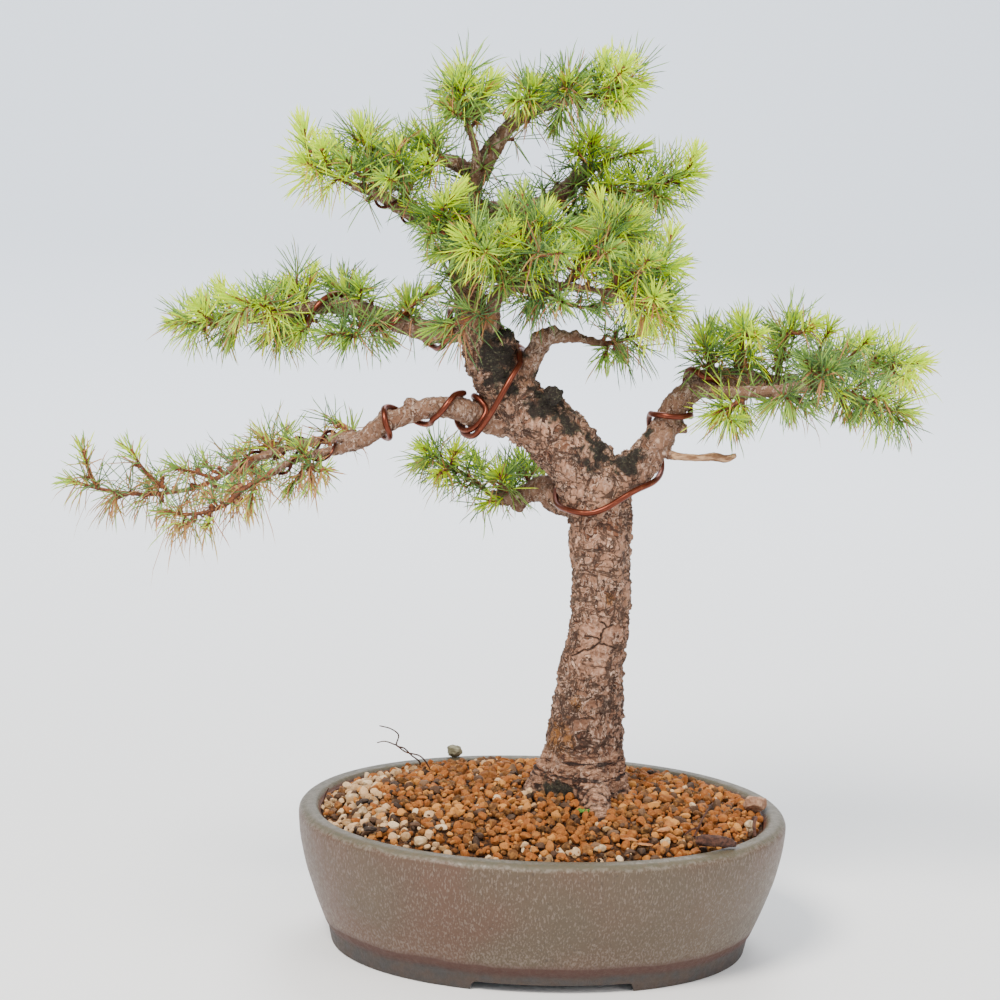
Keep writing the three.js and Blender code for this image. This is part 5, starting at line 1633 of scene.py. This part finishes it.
class BonsaiLitter(bpy.types.Operator):
    """Lays the loose stones, bark chip, dry roots, bark flakes and seedling on the gravel"""
    bl_idname = "bonsai.litter"
    bl_label = "Litter"

    # Loose pieces as [x, y, z, three half widths, turn]
    PALE = [[42.7, -1.6, 95.5, 3.8, 2.9, 2.6, 0.2], [36, -9, 94.6, 3.2, 2.5, 2.2, 0.6],
            [-113.9, 1.8, 86, 4.4, 3.4, 3, 0.3], [-108, -30, 86.6, 4, 3, 3, 1.2],
            [-75.4, -81.7, 85.2, 4.8, 3.6, 3, 0.1], [27.3, -87.6, 85.2, 4.2, 3.2, 3, 0.5],
            [119.7, -37.4, 86.6, 4, 3.2, 2.8, 0.8], [66, -76, 86.6, 3.6, 3, 2.6, 0.4]]
    DARK = [[-103.1, -61.9, 86, 4.6, 2.8, 2, 0.4], [-96, -64, 86, 3, 2.2, 1.8, 0.9],
            [-106.9, -8.5, 87, 3, 2.4, 1.8, 0.3], [-103, -13, 87.4, 2.6, 2, 1.6, 1.4],
            [-110, -14, 86.8, 2.4, 2, 1.6, 0.2], [-100, -6, 88, 2.2, 2, 1.6, 0.7],
            [12, -24, 93, 2.6, 2.2, 1.8, 0.1], [8, -30, 93, 2.2, 2, 1.7, 0.9],
            [-41, 69.8, 89, 4, 3.2, 2.6, 0.5], [-33, 71, 88.6, 3, 2.6, 2, 0.2]]
    FLAKES = [[44, -77, 88.2, 8, 3, 0.9, -0.55], [53, -83, 86.8, 5, 2.6, 0.8, -0.3],
              [66, -62, 89.4, 5, 3.4, 1, 0.9]]

    def execute(self, context):
        stone = plain_finish("lichened_stone", "#645f49", "#938e77", 4)
        pink = plain_finish("pink_sandstone", "#7f5c48", "#a9866d", 5)
        dead = plain_finish("dead_bark", "#291611", "#533427", 2.5)
        piece = rough_stone("lichened_rim_stone", [-49, 106, POT_HEIGHT + 4.1], [6, 4.6, 4], 0.4, 5)
        dress(piece, stone, "stone", "rim_stone", smooth=60)
        piece = rough_stone("pink_stone", [128, 1.5, 87.5], [7.6, 6, 6.2], 0.5, 8)
        dress(piece, pink, "stone", smooth=60)
        self.pebbles("pale_pebbles", plain_finish("cream_limestone", "#917653", "#c7b08d", 3), self.PALE, 3)
        self.pebbles("dark_pebbles", plain_finish("damp_basalt", "#1b1410", "#42342a", 3), self.DARK, 3)
        self.pebbles("bark_flake", plain_finish("dry_bark_flake", "#7d4721", "#b37d4c", 4), self.FLAKES, 4)
        self.seedling()
        self.chip(dead)
        self.rootlets(dead)
        return {"FINISHED"}

    @staticmethod
    def pebbles(name, material, rows, detail):
        """Loose stones from rows of [x, y, z, three half widths, turn]."""
        stones = [rough_stone(name, row[:3], row[3:6], row[6], 20 + number, detail)
                  for number, row in enumerate(rows)]
        dress(join(name, stones), material, "stone", smooth=60)

    @staticmethod
    def seedling():
        """The small green seedling in front of the trunk's foot."""
        random = Random(3)
        rows = []
        for number in range(16):
            turn = number * GOLDEN_TURN
            way = unit(np.array([math.cos(turn) * 0.75, math.sin(turn) * 0.75, random.uniform(0.4, 0.9)]))
            rows.append((np.array([20.2, -45.0, 92.5]), way, way * [0.2, 0.2, -0.3], random.uniform(3, 6), 1))
        shape = needle_shape()
        piece = copies("seedling", shape, needle_places(shape, rows, 0.75), {})
        dress(piece, plain_finish("seedling_leaf", "#2f5a1c", "#5c8a2c", 2), "needles", smooth=80)

    @staticmethod
    def chip(material):
        """The chip of old bark: a furrowed splinter."""
        line = smooth_line([[83, -78, 88, 2.2], [88, -78.5, 88.3, 3.2], [94, -79, 88.5, 3.4],
                            [101, -77, 87, 3], [106.5, -75, 85.5, 1.4]], 0.7)
        piece = tubes("bark_splinter", [line], 24)
        local = in_millimetres(piece)
        furrows = noises(local / [9, 1.4, 1.4], 1)
        centre = line[:, :3].mean(0)
        away = (local - centre) * [0.1, 1, 1]
        away /= np.maximum(np.linalg.norm(away, axis=1), 0.1)[:, None]
        set_coordinates(piece, to_metres(local + away * furrows[:, None] * 0.9))
        dress(piece, material, "dead_wood", "bark_chip", smooth=60)

    @staticmethod
    def rootlets(material):
        """Dry root fibres behind the left of the rim, and small ones at the right."""
        fibres = [
            [[-72, 76, 82, 0.5], [-72, 74, 88, 0.5], [-77, 70, 93, 0.5], [-82, 65, 99, 0.5],
             [-87, 61, 102, 0.5], [-86, 59, 109, 0.45], [-91, 55, 114, 0.4], [-98, 54, 116, 0.35]],
            [[-87, 61, 102, 0.5], [-94, 62, 104, 0.4], [-99, 62, 103, 0.35]],
            [[-87, 61, 102, 0.5], [-81, 60, 98, 0.5], [-72, 58, 96, 0.5], [-66, 58, 88, 0.45],
             [-65, 58, 82, 0.4]],
        ]
        piece = tubes("dry_root_fibres", [smooth_line(fibre, 1) for fibre in fibres], 8)
        dress(piece, material, "dead_wood", "dry_rootlet", smooth=50)
        roots = [
            [[84, -63, 86, 0.7], [88, -56, 92, 0.65], [92, -48, 96, 0.6], [97, -38, 99, 0.4]],
            [[78, -64, 87, 0.5], [82, -63, 90, 0.6], [86, -60, 90, 0.6]],
            [[122, -30, 86, 0.9], [123, -36, 90, 1.1], [121, -44, 88, 1.0], [121, -51, 83, 0.9]],
            [[-131, 4, 80, 0.4], [-130, 3, 86, 0.45], [-128, 2, 91, 0.3]],
        ]
        piece = tubes("loose_roots", [smooth_line(root, 1) for root in roots], 8)
        dress(piece, material, "dead_wood", smooth=50)


class BonsaiStage(bpy.types.Operator):
    """Sets the floor, the soft light and the camera"""
    bl_idname = "bonsai.stage"
    bl_label = "Stage"

    CAMERA_DISTANCE = 1.85
    CAMERA_HEIGHT_ANGLE = 11.0
    CAMERA_ROLL = 2.2
    CAMERA_TURN = -3.2
    CAMERA_AIM = (-32.6, 0.0, 268.5)
    FIELD_OF_VIEW = 18.0

    def execute(self, context):
        settings = context.scene.bonsai_stage
        self.floor(settings)
        self.lights(context, settings)
        self.camera(context)
        return {"FINISHED"}

    @staticmethod
    def floor(settings):
        """A floor that sweeps up into a backdrop."""
        deselect()
        bpy.ops.mesh.primitive_grid_add(x_subdivisions=1, y_subdivisions=1, size=8, location=(0, -0.5, 0))
        bpy.ops.object.transform_apply(location=True)
        piece = active("floor")
        bpy.ops.object.mode_set(mode="EDIT")
        bpy.ops.mesh.select_mode(type="EDGE")
        bpy.ops.mesh.select_all(action="DESELECT")
        bpy.ops.object.mode_set(mode="OBJECT")
        for edge in piece.data.edges:
            edge.select = all(piece.data.vertices[i].co.y > 3 for i in edge.vertices)
        bpy.ops.object.mode_set(mode="EDIT")
        bpy.ops.mesh.spin(steps=24, angle=math.pi / 2, center=(0, 3.5, 3), axis=(-1, 0, 0))
        bpy.ops.mesh.extrude_region_move(TRANSFORM_OT_translate={"value": (0, 0, 4)})
        bpy.ops.object.mode_set(mode="OBJECT")
        choose(piece)
        bpy.ops.object.shade_smooth()
        paint = Finish("painted_studio_floor").close({"Base Color": settings.floor, "Roughness": 0.9})
        piece.data.materials.append(paint)

    @staticmethod
    def lights(context, settings):
        """A pale sky and four round softboxes."""
        world = context.scene.world or bpy.data.worlds.new("studio")
        context.scene.world = world
        world.use_nodes = True
        background = world.node_tree.nodes.get("Background")
        background.inputs["Color"].default_value = linear("#eef3f8")
        background.inputs["Strength"].default_value = 1.0
        boxes = [("key", (-0.9, -1.3, 2.1), 0.9, settings.light, "#fff6ea"),
                 ("fill", (1.7, -1.5, 1.2), 1.4, 25, "#fff2e6"),
                 ("back", (0.4, 1.5, 1.9), 1.2, 33, "#ffffff"),
                 ("backdrop", (0, 2.0, 3.6), 3.0, 255, "#e2edff")]
        for name, place, size, power, tone in boxes:
            bpy.ops.object.light_add(type="AREA", location=place)
            lamp = active(name)
            lamp.data.shape = "DISK"
            lamp.data.size = size
            lamp.data.energy = power
            lamp.data.color = linear(tone)[:3]
            aim = Vector((0, 6, 1.5) if name == "backdrop" else (0, 0, 0.3)) - Vector(place)
            lamp.rotation_euler = aim.to_track_quat("-Z", "Y").to_euler()

    def camera(self, context):
        """The camera stands where the photograph was taken from."""
        rise, roll, turn = (math.radians(angle) for angle in
                            (self.CAMERA_HEIGHT_ANGLE, self.CAMERA_ROLL, self.CAMERA_TURN))
        back = Vector((0, -math.cos(rise), math.sin(rise)))
        level_up = Vector((0, math.sin(rise), math.cos(rise)))
        right = Vector((math.cos(roll), 0, 0)) + level_up * math.sin(roll)
        up = level_up * math.cos(roll) - Vector((math.sin(roll), 0, 0))
        place = Vector(self.CAMERA_AIM) * MM + back * self.CAMERA_DISTANCE
        axes = Matrix((right, up, back)).transposed().to_4x4()
        axes.translation = place
        bpy.ops.object.camera_add()
        camera = active("camera")
        camera.matrix_world = Matrix.Translation(POT_MIDDLE) @ Matrix.Rotation(turn, 4, "Z") @ axes
        camera.data.sensor_width = 36
        camera.data.lens = 18 / math.tan(math.radians(self.FIELD_OF_VIEW / 2))
        camera.data.clip_end = 100
        context.scene.camera = camera


class BonsaiPanel(bpy.types.Panel):
    """Lists the steps and their settings"""
    bl_idname = "VIEW3D_PT_bonsai"
    bl_label = "Bonsai"
    bl_space_type = "VIEW_3D"
    bl_region_type = "UI"
    bl_category = "Bonsai"

    def draw(self, context):
        layout = self.layout
        for step in STEPS:
            layout.operator(step.bl_idname)
        for name, group in SETTINGS.items():
            box = layout.box()
            box.label(text=name.replace("_", " ").capitalize())
            for key in group.__annotations__:
                box.prop(getattr(context.scene, name), key)


SETTINGS = {
    "bonsai_pot": BonsaiPotSettings,
    "bonsai_soil": BonsaiSoilSettings,
    "bonsai_bark": BonsaiBarkSettings,
    "bonsai_foliage": BonsaiFoliageSettings,
    "bonsai_wire": BonsaiWireSettings,
    "bonsai_stage": BonsaiStageSettings,
}
STEPS = (BonsaiPot, BonsaiDrainScreens, BonsaiSoilBed, BonsaiGravel, BonsaiTree, BonsaiWires,
         BonsaiFoliage, BonsaiLitter, BonsaiStage)


def register():
    for group in (*SETTINGS.values(), *STEPS, BonsaiPanel):
        bpy.utils.register_class(group)
    for name, group in SETTINGS.items():
        setattr(bpy.types.Scene, name, bpy.props.PointerProperty(type=group))


def unregister():
    for name in SETTINGS:
        delattr(bpy.types.Scene, name)
    for group in reversed((*SETTINGS.values(), *STEPS, BonsaiPanel)):
        bpy.utils.unregister_class(group)


def main():
    register()
    bpy.ops.bonsai.pot()
    bpy.ops.bonsai.drain_screens()
    bpy.ops.bonsai.soil_bed()
    bpy.ops.bonsai.gravel()
    bpy.ops.bonsai.tree()
    bpy.ops.bonsai.wires()
    bpy.ops.bonsai.foliage()
    bpy.ops.bonsai.litter()
    bpy.ops.bonsai.stage()


if __name__ == "__main__":
    main()
